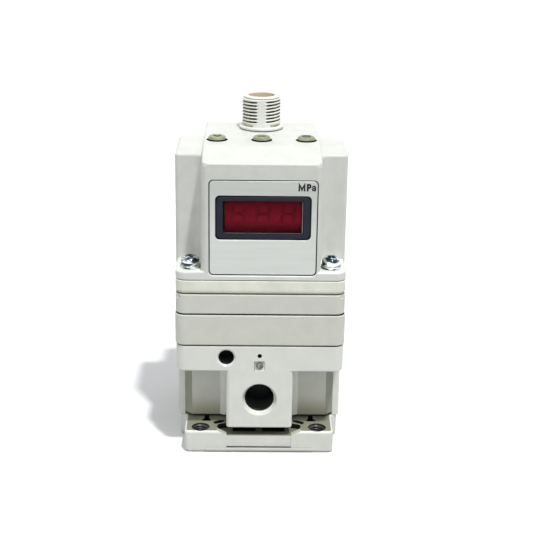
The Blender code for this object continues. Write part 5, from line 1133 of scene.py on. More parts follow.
class REGULATOR_OT_base_plate(RegulatorOperator, bpy.types.Operator):
    """Base plate: four corner lugs, low middles, pockets, ribs and threaded mounting holes"""
    bl_idname = "regulator.base_plate"
    bl_label = "Base plate"

    def make(self, scene):
        fine = scene.regulator_castings
        steps, edges = fine.corner_steps, fine.edge_steps
        coating, bore, shade = finish("plate_coating"), finish("machined_bore"), finish("pocket_shade")
        top = PLATE_TOP
        corners = four_fold([
            (HALF - 0.6 * MM, 13.0 * MM, 1.4 * MM),
            (HALF - 2.3 * MM, 13.0 * MM, 0.5 * MM),
            (HALF - 2.3 * MM, HALF, 1.4 * MM)])
        form = raised(corners, edge_levels(0.0, top, 0.84 * MM, 0.84 * MM, steps=edges), steps)
        cuts = []
        for side in (-1, 1):
            edge = side * HALF
            beyond = edge + side * OVERCUT
            low, high = sorted((edge + side * 0.25 * MM, edge - side * 1.0 * MM))
            rib = raised(rectangle(33.2 * MM, high - low, 0.25 * MM, (0.0, (low + high) / 2)),
                         edge_levels(0.80 * MM, 1.65 * MM, 0.12 * MM, 0.12 * MM, steps=2), 3)
            shelf = box_form((-9.9 * MM, edge - side * 0.4 * MM, 1.7 * MM),
                             (9.9 * MM, beyond, top + OVERCUT))
            line = box_form((-9.9 * MM, edge - side * 0.7 * MM, 1.66 * MM), (9.9 * MM, beyond, 1.82 * MM))
            flare = carried([self.flare(top)] * 2, 1, sorted((edge - side * 2.2 * MM, beyond)))
            drop = raised(self.drop_corners(side), [(0.0, top - 1.6 * MM), (0.0, top + OVERCUT)], steps)
            cuts += [join(rib, coating), cut(shelf, coating), cut(line, shade), cut(flare, coating),
                     cut(drop, coating)]
            for hand in (-1, 1):
                middle, wedge, slot = self.pockets(side, hand, top)
                cuts += [cut(middle, coating), cut(wedge, shade), cut(slot, shade)]
        countersink = turned([
            (0.0, -OVERCUT), (3.3 * MM, -OVERCUT), (3.3 * MM, 0.4 * MM), (1.8 * MM, 2.2 * MM),
            (1.8 * MM, top + OVERCUT), (0.0, top + OVERCUT)], 48)
        for x, y in four_places(1, 1):
            hole = drill(shade, (x * MOUNT_X, y * MOUNT_Y, top), DOWN, 2.50 * MM, 9.0 * MM, 0.22 * MM, 72)
            cuts.append(hole)
            cuts.append(cut(aimed(countersink, (x * BASE_SCREW_X, y * BASE_SCREW_Y, 0.0)), bore))
        channel = raised(rectangle(4.0 * MM, 20.0 * MM, 1.8 * MM, (0.0, 9.0 * MM)),
                         [(0.0, top - 4.0 * MM), (0.0, top + OVERCUT)])
        cuts.append(cut(channel, bore))
        piece = carve(make_object("base_plate_casting", [form], coating), cuts)
        centre, normal = face_table(piece)
        across, inwards = np.abs(centre[:, 0]), HALF - np.abs(centre[:, 1])
        upright = np.abs(normal[:, 2]) < 0.3
        pocket = upright & (centre[:, 2] < top - 1.65 * MM) & (centre[:, 2] > top - 4.0 * MM)
        pocket &= (across < 8.1 * MM) & (inwards > 3.0 * MM) & (inwards < 8.2 * MM)
        step = upright & (centre[:, 2] > top - 1.65 * MM) & (across < 13.0 * MM) & (inwards > 1.0 * MM)
        repaint(piece, shade, pocket | (step & (inwards < 9.2 * MM)))
        soften(piece)
        settle(piece, replaced=("base_plate",))

    @staticmethod
    def drop_corners(side):
        """Plan of the low middle: open at the plate's edge, with a rounded ear on each hand."""
        half = [(9.9, -1.0, 0.0), (9.9, 1.7, 0.4), (12.8, 2.3, 1.0), (12.8, 4.7, 1.3), (9.9, 5.6, 0.6),
                (9.9, 9.0, 2.0)]
        table = np.array(half + [(-x, inwards, radius) for x, inwards, radius in half[::-1]]) * MM
        table[:, 1] = side * (HALF - table[:, 1])
        return table[::-1] if side > 0 else table

    @staticmethod
    def flare(top):
        """Section above the low middle, whose lower corners round the lugs' upper edges."""
        half = np.array([(9.9, -1.5, 0.0), (9.9, -1.1, 0.3), (13.0, 0.0, 1.8), (14.4, 0.0, 0.0),
                         (14.4, 1.0, 0.0)]) * MM + (0.0, top, 0.0)
        return rounded_outline(np.concatenate([half, half[::-1] * (-1, 1, 1)]), 6)

    @staticmethod
    def pockets(side, hand, top):
        """Cutting forms of the small pockets in one quarter of the plate's top."""
        floor = top - 2.2 * MM
        middle = rectangle(7.0 * MM, 5.0 * MM, 0.5 * MM, (hand * 4.5 * MM, side * (HALF - 5.6 * MM)))
        forms = [raised(middle, [(0.0, floor - 1.6 * MM), (0.0, top)], 3)]
        wedge = [(14.4, 7.1, 0.4), (18.0, 7.1, 0.4), (16.9, 8.9, 0.3), (16.9, 11.4, 0.2), (15.4, 11.4, 0.2),
                 (15.4, 8.9, 0.3)]
        slot = [(10.6, 6.6, 0.3), (13.5, 4.9, 0.4), (14.2, 6.4, 0.5), (12.0, 7.6, 0.4), (10.6, 7.6, 0.3)]
        for corners in (wedge, slot):
            table = np.array(corners) * MM
            table[:, 0] *= hand
            table[:, 1] = side * (HALF - table[:, 1])
            after = np.roll(table, -1, axis=0)
            area = (after[:, 1] * table[:, 0] - after[:, 0] * table[:, 1]).sum()
            forms.append(raised(table if area > 0.0 else table[::-1],
                                [(0.0, floor), (0.0, top + OVERCUT)], 3))
        return forms


class REGULATOR_OT_threads(RegulatorOperator, bpy.types.Operator):
    """Inside threads of the four ports, the pilot exhaust and the four mounting holes"""
    bl_idname = "regulator.threads"
    bl_label = "Inside threads"

    def make(self, scene):
        thread = scene.regulator_threads
        side, small = thread.side_pitch, thread.small_pitch
        # Name, slot, finish, place, direction, pitch, and in mm crest, root, end, mouth, sides and start
        pieces = [
            ("gauge_port_thread", "body_paint", "bore_shade", GAUGE_PORT, INTO, thread.gauge_pitch,
             4.4, 4.86, 9.6, 5.3, 96, 1.6),
            ("supply_port_thread", "body_paint", "machined_bore", (-HALF, 0, PORT_Z), RIGHT, side,
             7.5, 8.34, 10.6, 8.4, 96, 0.06),
            ("outlet_port_thread", "body_paint", "machined_bore", (HALF, 0, PORT_Z), LEFT, side,
             7.5, 8.34, 10.6, 8.4, 96, 0.06),
            ("exhaust_port_thread", "body_paint", "machined_bore", (0, REAR, REAR_PORT_Z), OUT, side,
             5.7, 6.54, 9.6, 6.6, 96, 0.06),
            ("pilot_exhaust_thread", "body_paint", "bore_shade", PILOT_EXHAUST, INTO, small,
             2.2, 2.60, 6.0, 2.7, 64, 0.72),
        ]
        for number, (x, y) in enumerate(((-1, -1), (1, -1), (1, 1), (-1, 1)), start=1):
            # The mounting holes' threads are near-black: painted shade.
            pieces.append((f"mount_hole_thread_{number}", "plate_paint", "cut_thread",
                           (x * MOUNT_X, y * MOUNT_Y, PLATE_TOP), DOWN, small,
                           2.06, 2.47, 7.0, 2.8, 64, 0.25))
        for name, slot, look, place, towards, pitch, crest, root, end, mouth, sides, start in pieces:
            form = thread_lining(crest * MM, root * MM, pitch, end * MM, mouth * MM, sides, start * MM)
            settle(make_object(name, [aimed(form, place, towards)], finish(look), 50.0))


class REGULATOR_OT_label(RegulatorOperator, bpy.types.Operator):
    """Label film round the display, with the unit of pressure printed on it"""
    bl_idname = "regulator.label"
    bl_label = "Label"

    def make(self, scene):
        front, back = LABEL_LOW[1], LABEL_HIGH[1]
        size, window = LABEL_HIGH - LABEL_LOW, BEZEL_HIGH - BEZEL_LOW
        outer = rectangle(size[0], size[2], 1.1 * MM)
        inner = rectangle(window[0] + 2 * GAP, window[2] + 2 * GAP, 1.3 * MM, (0.0, BEZEL_Z - LABEL_Z))
        soft = 0.10 * MM
        film = self.upright_ring([
            (outer, 0.0, back), (outer, 0.0, front + soft), (outer, soft, front),
            (inner, -soft, front), (inner, 0.0, front + soft), (inner, 0.0, back)], 8, LABEL_Z)
        piece = make_object("label_film", [film], finish("label_film_finish"), 25.0)
        settle(piece, replaced=("label_plate",))
        mark = make_object("label_print", self.unit_sign(front), finish("print_ink"), 25.0)
        settle(mark)

    @staticmethod
    def upright_ring(levels, steps, middle):
        """Ring through outlines stood up round a height, from (corners, inwards, y) levels."""
        return shell(np.stack([
            np.insert(rounded_outline(corners, steps, inwards) + (LABEL_X, middle), 1, y, axis=1)
            for corners, inwards, y in levels]), close_rows=True)

    @staticmethod
    def unit_sign(front):
        """The bold letters MPa as strokes along paths of (x, z) shares of a letter's size. The a is
        drawn with a thinner stroke."""
        bold = 0.52 * MM
        height = 2.2 * MM - bold
        foot = LABEL_HIGH[2] - 2.86 * MM + bold / 2
        letters = [
            (10.66, 1.5, 1.0, [(0.0, 0.0), (0.0, 1.0), (0.5, 0.12), (1.0, 1.0), (1.0, 0.0)]),
            (13.04, 0.80, 1.0, [(0.0, 0.0), (0.0, 1.0), (0.62, 1.0), (0.93, 0.90), (1.0, 0.73),
                                (0.93, 0.55), (0.62, 0.45), (0.0, 0.45)]),
            (14.42, 0.86, 0.74, [(0.04, 0.62), (0.22, 0.74), (0.70, 0.74), (0.92, 0.58), (0.92, 0.0)]),
            (14.42, 0.86, 0.74, [(0.92, 0.42), (0.30, 0.38), (0.02, 0.24), (0.02, 0.10), (0.25, 0.0),
                                 (0.62, 0.0), (0.92, 0.18)]),
        ]
        return [ribbon(np.array(letter) * (width * MM, height) + (start * MM, foot), bold * weight / 2,
                       front, 0.03 * MM)
                for start, width, weight, letter in letters]


class REGULATOR_OT_display(RegulatorOperator, bpy.types.Operator):
    """Display frame, tinted pane, and the seven-bar digits on the module behind it"""
    bl_idname = "regulator.display"
    bl_label = "Display"

    def make(self, scene):
        self.make_frame()
        self.make_pane()
        self.make_digits(scene.regulator_display)

    @staticmethod
    def make_frame():
        """Ring between a rounded outline and the sight opening, with rounded front edges."""
        front, back = BEZEL_LOW[1], BEZEL_HIGH[1]
        size, sight = BEZEL_HIGH - BEZEL_LOW, WINDOW_HIGH - WINDOW_LOW
        outer = rectangle(size[0], size[2], 1.3 * MM)
        inner = rectangle(sight[0] + GAP, sight[2] + GAP, 0.35 * MM)
        turn = np.linspace(0.0, math.pi / 2, 5)
        soft, edge = 0.3 * MM, 0.12 * MM
        levels = [(outer, 0.0, back)]
        levels += [(outer, soft * (1 - math.cos(t)), front + soft * (1 - math.sin(t))) for t in turn]
        levels += [(inner, -edge * (1 - math.cos(t)), front + edge * (1 - math.sin(t))) for t in turn[::-1]]
        levels.append((inner, 0.0, back))
        form = REGULATOR_OT_label.upright_ring(levels, 10, BEZEL_Z)
        piece = make_object("display_frame", [form], finish("bezel_skin"), 30.0)
        soften(piece)
        settle(piece, replaced=("display_bezel",))

    @staticmethod
    def make_pane():
        """Pane with a bevel all round its front, with a lighter pink on the bevel where it looks down or
        aside: a painted highlight.
        """
        front, back = WINDOW_LOW[1], WINDOW_HIGH[1]
        size = WINDOW_HIGH - WINDOW_LOW
        form = raised(rectangle(size[0], size[2], 0.3 * MM),
                      [(0.26 * MM, 0.0), (0.0, 0.22 * MM), (0.0, back - front)], 5)
        piece = make_object("display_pane", [aimed(form, (LABEL_X, front, BEZEL_Z), INTO)],
                            finish("window_pane"), 20.0)
        centre, normal = face_table(piece)
        bevel = (centre[:, 1] < front + 0.2 * MM) & (normal[:, 1] > -0.95)
        repaint(piece, finish("window_bevel"), bevel & ((normal[:, 2] < -0.4) | (normal[:, 0] > 0.4)))
        settle(piece, replaced=("display_window",))

    @staticmethod
    def make_digits(sizes):
        """Three digits of seven pointed bars each, and a point after each digit."""
        half = sizes.bar_width / 2
        width = sizes.digit_width - sizes.bar_width
        rise = (sizes.digit_height - sizes.bar_width) / 2
        gap = 0.12 * MM
        slant = 0.10
        across = np.array([
            (gap, 0.0), (gap + half, half), (width - gap - half, half), (width - gap, 0.0),
            (width - gap - half, -half), (gap + half, -half)])
        up = np.array([
            (0.0, gap), (-half, gap + half), (-half, rise - gap - half), (0.0, rise - gap),
            (half, rise - gap - half), (half, gap + half)])
        bars = [across, across + (0.0, rise), across + (0.0, 2 * rise),
                up, up + (width, 0.0), up + (0.0, rise), up + (width, rise)]
        point = round_grid(0.42 * MM, angles(12), 0.0)[0, :, :2] + (width + 1.0 * MM, 0.1 * MM)
        middle_z = (MODULE_LOW[2] + MODULE_HIGH[2]) / 2 + 0.75 * MM
        front = MODULE_LOW[1]
        forms = []
        for digit in (-1, 0, 1):
            for bar in bars + [point]:
                flat = bar - (width / 2, rise)
                flat = flat + np.column_stack([flat[:, 1] * slant + digit * 7.2 * MM, np.zeros(len(flat))])
                forms.append(carried([flat + (LABEL_X, middle_z)] * 2, 1,
                                     (front - 0.12 * MM, front + 0.1 * MM)))
        settle(make_object("display_digits", forms, finish("digit_bar")))


class REGULATOR_OT_keys(RegulatorOperator, bpy.types.Operator):
    """Three rubber push keys with raised marks: a triangle down, a triangle up and a bar ring"""
    bl_idname = "regulator.keys"
    bl_label = "Push keys"

    def make(self, scene):
        for name, x in KEYS.items():
            low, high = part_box(f"key_{name}")
            form = aimed(self.cap(low[2], high[2], name), (x, KEY_Y, 0.0))
            piece = make_object(f"key_cap_{name}", [form], finish("key_skin"), 40.0)
            centre, normal = face_table(piece)
            reach = np.hypot(centre[:, 0] - x, centre[:, 1] - KEY_Y)
            edge = (reach < 2.0 * MM) & (normal[:, 2] < 0.88) & (centre[:, 2] > PLATEAU + 0.5 * MM)
            repaint(piece, finish("key_shade"), edge)
            repaint(piece, finish("seam_shade"), centre[:, 2] < PLATEAU + 0.32 * MM)
            settle(piece, f"key_{name}", (f"key_{name}",))

    @staticmethod
    def mark(name, x, y):
        """1 on a key's mark and 0 off it, with soft edges: a triangle's distance is the largest of
        those to its three sides, a bar ring's is that from the line round its bar."""
        if name == "set":
            outer = np.maximum(np.abs(x) - 1.15 * MM, np.abs(y) - 0.65 * MM)
            distance = np.abs(outer) - 0.16 * MM
        else:
            way = 1.0 if name == "up" else -1.0
            distance = np.maximum(np.abs(x) * 0.866 + way * y * 0.5, -way * y) - 1.15 * MM * 0.55
        return 1.0 - np.clip((distance / MM + 0.08) / 0.16, 0.0, 1.0)

    @classmethod
    def cap(cls, bottom, top, name):
        """Dome z = edge + rise * (1 - share ** 2.9) ** 0.5 with a dish in its middle, over a polar
        grid, plus the mark, on a straight side, a collar and a short leg."""
        angle = angles(144)
        radius = 2.85 * MM
        collar = 3.35 * MM
        share = np.sin(np.linspace(0.0, math.pi / 2, 64))[::-1][:, None]
        edge = PLATEAU + 0.12 * MM
        rise = top - edge + 0.12 * MM
        swell = 1.0 - 0.06 * np.clip(share * 4 - 3, 0.0, 1.0)
        dome = edge + rise * np.sqrt(np.maximum(1.0 - share ** 2.9, 0.0))
        dome = dome - 0.42 * MM * np.exp(-(share / 0.62) ** 6)
        points = round_grid(radius * share * swell, angle, dome)
        mark = cls.mark(name, points[..., 0], points[..., 1])
        points[..., 2] += 0.34 * MM * mark * np.clip((0.75 - share) * 6.0, 0.0, 1.0)
        collar_top = PLATEAU - 2.3 * MM
        below = np.array([
            (0.0, bottom), (1.7 * MM, bottom), (1.7 * MM, collar_top - 1.0 * MM),
            (collar, collar_top - 1.0 * MM), (collar, collar_top - 0.15 * MM),
            (collar - 0.15 * MM, collar_top), (radius, collar_top),
            (radius, PLATEAU), (radius * 0.94, PLATEAU + 0.06 * MM)])
        return shell(np.concatenate([round_grid(below[:, 0:1], angle, below[:, 1:2]), points]))


class REGULATOR_OT_connector(RegulatorOperator, bpy.types.Operator):
    """Plug connector: threaded barrel with a rounded lip and collar, pin carrier and pins"""
    bl_idname = "regulator.connector"
    bl_label = "Plug connector"

    def make(self, scene):
        self.make_barrel(scene.regulator_threads)
        self.make_carrier()
        self.make_pins()

    @staticmethod
    def make_barrel(settings):
        """Profile round the axis; between collar and lip the radius is the crest less the
        thread's groove, which fades out on two narrow strips front and back."""
        low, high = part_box("connector_shell")
        crest, root, bore, neck_radius = 6.0 * MM, 5.45 * MM, 4.0 * MM, 5.1 * MM
        rim = 6.75 * MM
        bottom, top = low[2] - PLATEAU, high[2] - PLATEAU
        foot = [
            (bore, bottom), (root, bottom), (root, 0.3 * MM), (neck_radius, 0.3 * MM),
            (neck_radius, 1.0 * MM), (6.6 * MM, 1.0 * MM), (6.6 * MM, 0.3 * MM),
            (rim - 0.1 * MM, 0.3 * MM), (rim, 0.4 * MM), (rim, 0.9 * MM),
            (rim - 0.05 * MM, 1.02 * MM), (rim - 0.18 * MM, 1.1 * MM), (6.1 * MM, 1.1 * MM)]
        lip = [(radius * MM, top - down * MM) for radius, down in (
            (5.62, 0.86), (5.40, 0.80), (5.36, 0.68), (5.52, 0.60), (5.54, 0.46), (5.44, 0.28),
            (5.22, 0.12), (4.95, 0.03), (4.75, 0.0), (4.45, 0.0), (4.28, 0.04), (4.12, 0.14),
            (4.05, 0.35), (4.0, 0.6))]
        height = np.linspace(1.15 * MM, top - 0.98 * MM, 190)[:, None]
        profile = np.concatenate([foot, np.insert(height, 0, crest, axis=1), lip])
        angle = angles(240)
        aside = np.abs(np.abs((angle + math.pi) % TAU - math.pi) - math.pi / 2)
        strip = np.clip((aside - math.radians(7.0)) / math.radians(13.0), 0.0, 1.0)
        strip = strip * strip * (3 - 2 * strip)
        ends = np.clip(np.minimum(height - 2.2 * MM, 9.35 * MM - height) / (0.3 * MM), 0.0, 1.0)
        groove = 1.0 - thread_wave(height / settings.plug_pitch - angle / TAU - 0.55)
        neck = np.clip((2.05 * MM - height) / (0.2 * MM), 0.0, 1.0)
        neck = neck * np.clip((aside - math.radians(14.0) - 0.18 * neck) / math.radians(7.0), 0.0, 1.0)
        sunk = np.maximum(settings.plug_depth * groove * strip * ends, 0.52 * MM * neck)
        flat = (crest - 0.06 * MM) / np.maximum(np.cos(np.minimum(aside, 1.2)), 0.2)
        radius = np.repeat(profile[:, 0:1], angle.size, axis=1)
        radius[len(foot):len(foot) + len(height)] = np.minimum(crest - sunk, flat)
        form = shell(round_grid(radius, angle, profile[:, 1:2]), close_rows=True)
        piece = make_object("connector_barrel", [aimed(form, (0.0, CONNECTOR_Y, PLATEAU))],
                            finish("plug_skin"), 60.0)
        centre = face_table(piece)[0]
        reach = np.hypot(centre[:, 0], centre[:, 1] - CONNECTOR_Y)
        rise = centre[:, 2] - PLATEAU
        aside = np.abs(centre[:, 0]) / np.maximum(reach, MM)
        outside = reach > 5.0 * MM
        threaded = outside & (rise > 2.15 * MM) & (rise < 9.4 * MM)
        at_neck = outside & (reach < 5.75 * MM)
        repaint(piece, finish("pin_carrier_plastic"), reach < 4.15 * MM)
        # Painted shade in the thread's grooves: olive, and near-black towards the front and back strips.
        repaint(piece, finish("thread_pale"), threaded & (reach < 5.68 * MM))
        repaint(piece, finish("thread_shade"), threaded & (reach < 5.72 * MM) & (aside < 0.66))
        # Painted shade on the neck under the thread, with a darker line at its foot.
        repaint(piece, finish("neck_shade"), at_neck & (rise > 1.12 * MM) & (rise < 2.1 * MM))
        repaint(piece, finish("thread_pale"), at_neck & (rise > 1.08 * MM) & (rise < 1.24 * MM))
        repaint(piece, finish("lip_line"), outside & (reach < 5.5 * MM) & (rise > top - 0.84 * MM)
                & (rise < top - 0.62 * MM))
        settle(piece, replaced=("connector_shell",))

    @staticmethod
    def make_carrier():
        """Disc with a rounded rim and four pin holes."""
        low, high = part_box("connector_insert")
        plastic = finish("pin_carrier_plastic")
        top = high[2]
        form = turned([
            (0.0, low[2]), (3.7 * MM, low[2]), (3.7 * MM, top - 0.3 * MM), (3.6 * MM, top - 0.09 * MM),
            (3.4 * MM, top), (0.0, top)], 72)
        hole = disc(0.65 * MM, low[2] - OVERCUT, top + OVERCUT, 24)
        turn = [math.pi / 4 + math.pi / 2 * number for number in range(4)]
        piece = carve(make_object("pin_carrier", [form], plastic), [
            cut(aimed(hole, (2.5 * MM * math.cos(t), 2.5 * MM * math.sin(t), 0.0)), plastic) for t in turn])
        piece.data.transform(Matrix.Translation((0.0, CONNECTOR_Y, 0.0)))
        settle(piece, replaced=("connector_insert",))

    @staticmethod
    def make_pins():
        """Round pins with domed tips."""
        turn = np.linspace(0.0, math.pi / 2, 7)
        radius = 0.5 * MM
        for number in range(1, 5):
            node = f"contact_pin_{number}"
            low, high, place = node_place(node)
            tip = np.column_stack([radius * np.cos(turn), high - radius + radius * np.sin(turn)])
            form = turned(np.concatenate([[(0.0, low), (radius, low)], tip]), 32)
            piece = make_object(f"plug_pin_{number}", [aimed(form, place)], finish("gold_plate"))
            settle(piece, replaced=(node,))


class REGULATOR_OT_screws(RegulatorOperator, bpy.types.Operator):
    """Cover screws with washers, and the countersunk screws of the base plate"""
    bl_idname = "regulator.screws"
    bl_label = "Screws and washers"

    def make(self, scene):
        for number in range(1, 5):
            self.cover_screw(number)
            self.washer(number)
            self.base_screw(number)

    @staticmethod
    def cross(x, y, reach=1.45 * MM, half=0.36 * MM, flare=0.3 * MM):
        """Depth share of a cross recess: 1 on its floor, falling to 0 past its sloping walls."""
        arm = np.minimum(np.maximum(np.abs(x) - reach, np.abs(y) - half),
                         np.maximum(np.abs(y) - reach, np.abs(x) - half))
        round_middle = np.hypot(x, y) - 0.75 * MM
        return np.clip(-np.minimum(arm, round_middle) / flare + 0.5, 0.0, 1.0)

    @classmethod
    def cover_screw(cls, number):
        """Pan head screw, domed a little higher than its node: a flat middle, an elliptic shoulder
        and a cross recess over a polar grid, on a plain shank."""
        node = f"cover_screw_{number}"
        low, high, (x, y, _) = node_place(node)
        seat = high - 2.0 * MM
        angle = angles(144)
        share = np.concatenate([[1.0], np.linspace(1.0, 0.0, 60)])[:, None]
        shoulder = 2.5 * MM * (0.38 + 0.62 * np.sqrt(np.maximum(1.0 - share ** 3.0, 0.0)))
        shoulder[0] = 0.0
        head = round_grid(2.7 * MM * share, angle, shoulder)
        turn = 0.35 * number
        u = head[..., 0] * math.cos(turn) + head[..., 1] * math.sin(turn)
        v = -head[..., 0] * math.sin(turn) + head[..., 1] * math.cos(turn)
        head[..., 2] -= 1.2 * MM * cls.cross(u, v) * (share < 0.97)
        shank = np.array([(0.0, low - seat), (1.2 * MM, low - seat), (1.5 * MM, low - seat + 0.3 * MM),
                          (1.5 * MM, 0.0)])
        form = shell(np.concatenate([round_grid(shank[:, 0:1], angle, shank[:, 1:2]), head]))
        piece = make_object(f"pan_screw_{number}", [aimed(form, (x, y, seat))], finish("zinc_plate"), 38.0)
        centre, normal = face_table(piece)
        reach = np.hypot(centre[:, 0] - x, centre[:, 1] - y)
        rise = centre[:, 2] - seat
        recess = (reach < 2.0 * MM) & ((normal[:, 2] < 0.75) | (rise < 1.3 * MM)) & (rise > 0.5 * MM)
        # Painted shade in the cross recess and a painted dark reflection round the head's lower rim.
        repaint(piece, finish("zinc_shade"), recess | ((rise < 0.35 * MM) & (reach > 1.6 * MM)))
        settle(piece, replaced=(node,))

    @staticmethod
    def washer(number):
        """Flat ring with rounded edges."""
        node = f"screw_washer_{number}"
        low, high, place = node_place(node)
        inner, outer, soft = 1.62 * MM, 2.9 * MM, 0.15 * MM
        form = turned([
            (inner, low + soft), (inner + soft, low), (outer - soft, low),
            (outer - soft * 0.3, low + soft * 0.3), (outer, low + soft),
            (outer, high - soft), (outer - soft * 0.3, high - soft * 0.3),
            (outer - soft, high), (inner + soft, high), (inner, high - soft)], 96, closed=True)
        piece = make_object(f"flat_washer_{number}", [aimed(form, place)], finish("zinc_plate"), 50.0)
        settle(piece, replaced=(node,))

    @classmethod
    def base_screw(cls, number):
        """Countersunk screw seen from below, with a cross recess in its flat head."""
        node = f"base_screw_{number}"
        low, high, place = node_place(node)
        angle = angles(120)
        share = np.linspace(1.0, 0.0, 50)[:, None]
        face = round_grid(2.95 * MM * share, angle, low)
        recess = cls.cross(face[..., 0], face[..., 1], 1.5 * MM, 0.4 * MM)
        face[..., 2] += 1.0 * MM * recess * (share < 0.97)
        body = np.array([
            (3.0 * MM, low + 0.12 * MM), (3.0 * MM, low + 0.25 * MM), (1.5 * MM, low + 1.75 * MM),
            (1.5 * MM, high - 0.3 * MM), (1.2 * MM, high), (0.0, high)])
        form = shell(np.concatenate([face[::-1], round_grid(body[:, 0:1], angle, body[:, 1:2])]))
        piece = make_object(f"countersunk_screw_{number}", [aimed(form, place)], finish("zinc_plate"), 38.0)
        settle(piece, replaced=(node,))


class REGULATOR_OT_valve_spring(RegulatorOperator, bpy.types.Operator):
    """Spring below the main valve, drawn as a fixed coil; the real spring shortens as the valve opens, this
    one does not.
    """
    bl_idname = "regulator.valve_spring"
    bl_label = "Valve spring"

    def make(self, scene):
        low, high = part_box("valve_spring")
        wire, turns = 0.35 * MM, 2.5
        angle = np.linspace(0.0, TAU * turns, int(turns * 48) + 1)[:, None]
        about = angles(12)
        rise = np.linspace(low[2] + wire, high[2] - wire, len(angle))[:, None]
        coil = capped(round_grid(high[0] - wire + wire * np.cos(about), angle, rise + wire * np.sin(about)))
        piece = make_object("valve_spring_coil", [coil], finish("turned_steel"), 50.0)
        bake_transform(piece)
        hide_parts("valve_spring")


class REGULATOR_OT_frame_finishes(RegulatorOperator, bpy.types.Operator):
    """Finishes of the frame's own nodes: seals, boards, solenoids and the parts of the valve"""
    bl_idname = "regulator.frame_finishes"
    bl_label = "Inner pieces"

    LOOKS = {
        "rubber_black": "seal_rubber", "board_green": "board_mask", "plastic_black": "black_housing",
        "bright_steel": "turned_steel", "brass_part": "turned_brass", "zinc_screw": "zinc_plate",
        "gold_contact": "gold_plate", "pin_carrier": "pin_carrier_plastic", "display_grey": "display_face",
        "cover_ivory": "cover_skin", "base_ivory": "board_base_skin", "layer_grey": "layer_paint",
        "body_paint": "body_coating", "plate_paint": "plate_coating", "label_film": "label_film_finish",
        "bezel": "bezel_skin", "window": "window_pane", "key_rubber": "key_skin",
    }

    def make(self, scene):
        for part in frame["record"]["subparts"]:
            node = frame["nodes"][part["node"]]
            node.data.materials.clear()
            node.data.materials.append(finish(self.LOOKS[part["material_slot"]]))


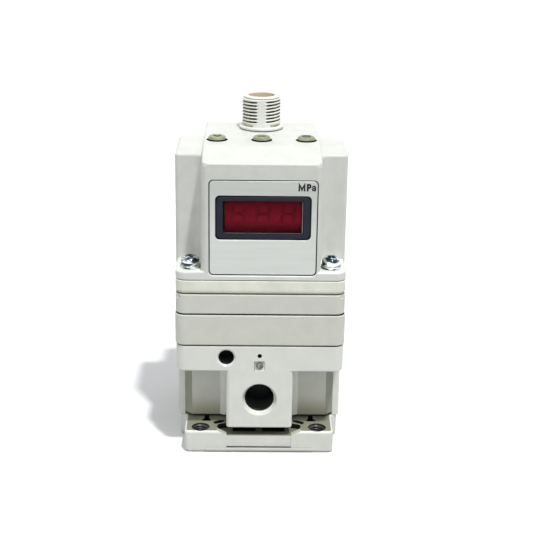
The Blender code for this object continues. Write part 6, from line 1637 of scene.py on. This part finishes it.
class REGULATOR_OT_stage(RegulatorOperator, bpy.types.Operator):
    """Pale floor, soft lamps, even sky and the camera at the photograph's angle"""
    bl_idname = "regulator.stage"
    bl_label = "Stage"

    def make(self, scene):
        stage = scene.regulator_stage
        self.make_floor(stage)
        self.make_sky(scene, stage)
        sun = bpy.data.lights.new("sun_lamp", "SUN")
        sun.energy = stage.sun_power
        sun.angle = math.radians(3.0)
        self.place_lamp(sun, (0.0, 0.0, 0.0), (-0.187, 0.36, -1.0))
        fill = bpy.data.lights.new("soft_box", "AREA")
        fill.size = 0.45
        fill.energy = stage.fill_power
        self.place_lamp(fill, (-0.30, -0.80, 0.50), (0.30, 0.80, -0.45))
        camera = bpy.data.cameras.new("camera")
        camera.lens = stage.lens
        camera.sensor_width = 36.0
        camera.clip_start = 0.01
        camera.clip_end = 20.0
        eye = bpy.data.objects.new("camera", camera)
        aim = (Matrix.Rotation(stage.camera_turn, 4, "Z")
               @ Matrix.Rotation(math.pi / 2 - stage.camera_tilt, 4, "X")
               @ Matrix.Rotation(stage.camera_roll, 4, "Z"))
        eye.matrix_world = Matrix.Translation(stage.camera_place) @ aim
        bpy.context.collection.objects.link(eye)
        scene.camera = eye
        scene.view_settings.view_transform = "Standard"

    @staticmethod
    def place_lamp(lamp, place, direction):
        """Puts a lamp at a place, shining in a direction."""
        holder = bpy.data.objects.new(lamp.name, lamp)
        holder.location = place
        holder.rotation_euler = Vector(direction).to_track_quat("-Z", "Y").to_euler()
        bpy.context.collection.objects.link(holder)

    @staticmethod
    def make_floor(stage):
        """Large plane that shows white to the camera and keeps the object's shadow."""
        reach = 3.0
        mesh = bpy.data.meshes.new("floor")
        mesh.from_pydata([(x * reach, y * reach, 0.0) for x, y in ((-1, -1), (1, -1), (1, 1), (-1, 1))],
                         [], [(0, 1, 2, 3)])
        floor = bpy.data.objects.new("floor", mesh)
        bpy.context.collection.objects.link(floor)
        paper = Nodes(bpy.data.materials.new("floor_paper"))
        shader = paper.tree.nodes["Principled BSDF"]
        paper.feed(shader.inputs["Roughness"], 0.9)
        paper.feed(shader.inputs["Specular IOR Level"], 0.0)
        colour = paper.blend(paper.seen(), stage.floor_colour, (0.87, 0.875, 0.88))
        paper.feed(shader.inputs["Base Color"], colour)
        mesh.materials.append(paper.owner)

    @staticmethod
    def make_sky(scene, stage):
        """Soft light that fades from overhead to the horizon, and plain white where it is looked at."""
        scene.world = bpy.data.worlds.new("studio")
        sky = Nodes(scene.world)
        background = sky.tree.nodes["Background"]
        height = sky.split(sky.add("TexCoord").outputs["Generated"], "Z")
        level = sky.span(height, stage.sky_low, stage.sky_high, 0.0, 1.0)
        sky.feed(background.inputs["Color"], (0.98, 0.99, 1.0))
        sky.feed(background.inputs["Strength"], sky.span(sky.seen(), level, 1.0, 0.0, 1.0))


class REGULATOR_PT_panel(bpy.types.Panel):
    """Lists the pieces of the regulator in the order they are made"""
    bl_label = "Regulator"
    bl_idname = "REGULATOR_PT_panel"
    bl_space_type = "VIEW_3D"
    bl_region_type = "UI"
    bl_category = "Regulator"

    def draw(self, context):
        for group in SETTINGS:
            settings = getattr(context.scene, group)
            box = self.layout.box()
            for name in settings.bl_rna.properties.keys():
                if name not in ("rna_type", "name"):
                    box.prop(settings, name)
        for operator in OPERATORS:
            self.layout.operator(operator.bl_idname)


SETTINGS = {
    "regulator_castings": CastingSettings,
    "regulator_threads": ThreadSettings,
    "regulator_display": DisplaySettings,
    "regulator_finishes": FinishSettings,
    "regulator_stage": StageSettings,
}
OPERATORS = (
    REGULATOR_OT_stage,
    REGULATOR_OT_frame_finishes,
    REGULATOR_OT_base_plate,
    REGULATOR_OT_valve_body,
    REGULATOR_OT_layers,
    REGULATOR_OT_cover,
    REGULATOR_OT_threads,
    REGULATOR_OT_label,
    REGULATOR_OT_display,
    REGULATOR_OT_keys,
    REGULATOR_OT_connector,
    REGULATOR_OT_screws,
    REGULATOR_OT_valve_spring,
)


def register():
    """Registers the settings, the operators and the panel."""
    for name, group in SETTINGS.items():
        bpy.utils.register_class(group)
        setattr(bpy.types.Scene, name, PointerProperty(type=group))
    for item in (*OPERATORS, REGULATOR_PT_panel):
        bpy.utils.register_class(item)


def unregister():
    """Takes them away again."""
    for item in (REGULATOR_PT_panel, *reversed(OPERATORS)):
        bpy.utils.unregister_class(item)
    for name, group in reversed(SETTINGS.items()):
        delattr(bpy.types.Scene, name)
        bpy.utils.unregister_class(group)


def main():
    """Makes every piece in order."""
    register()
    for operator in OPERATORS:
        group, name = operator.bl_idname.split(".")
        getattr(getattr(bpy.ops, group), name)()


if __name__ == "__main__":
    main()
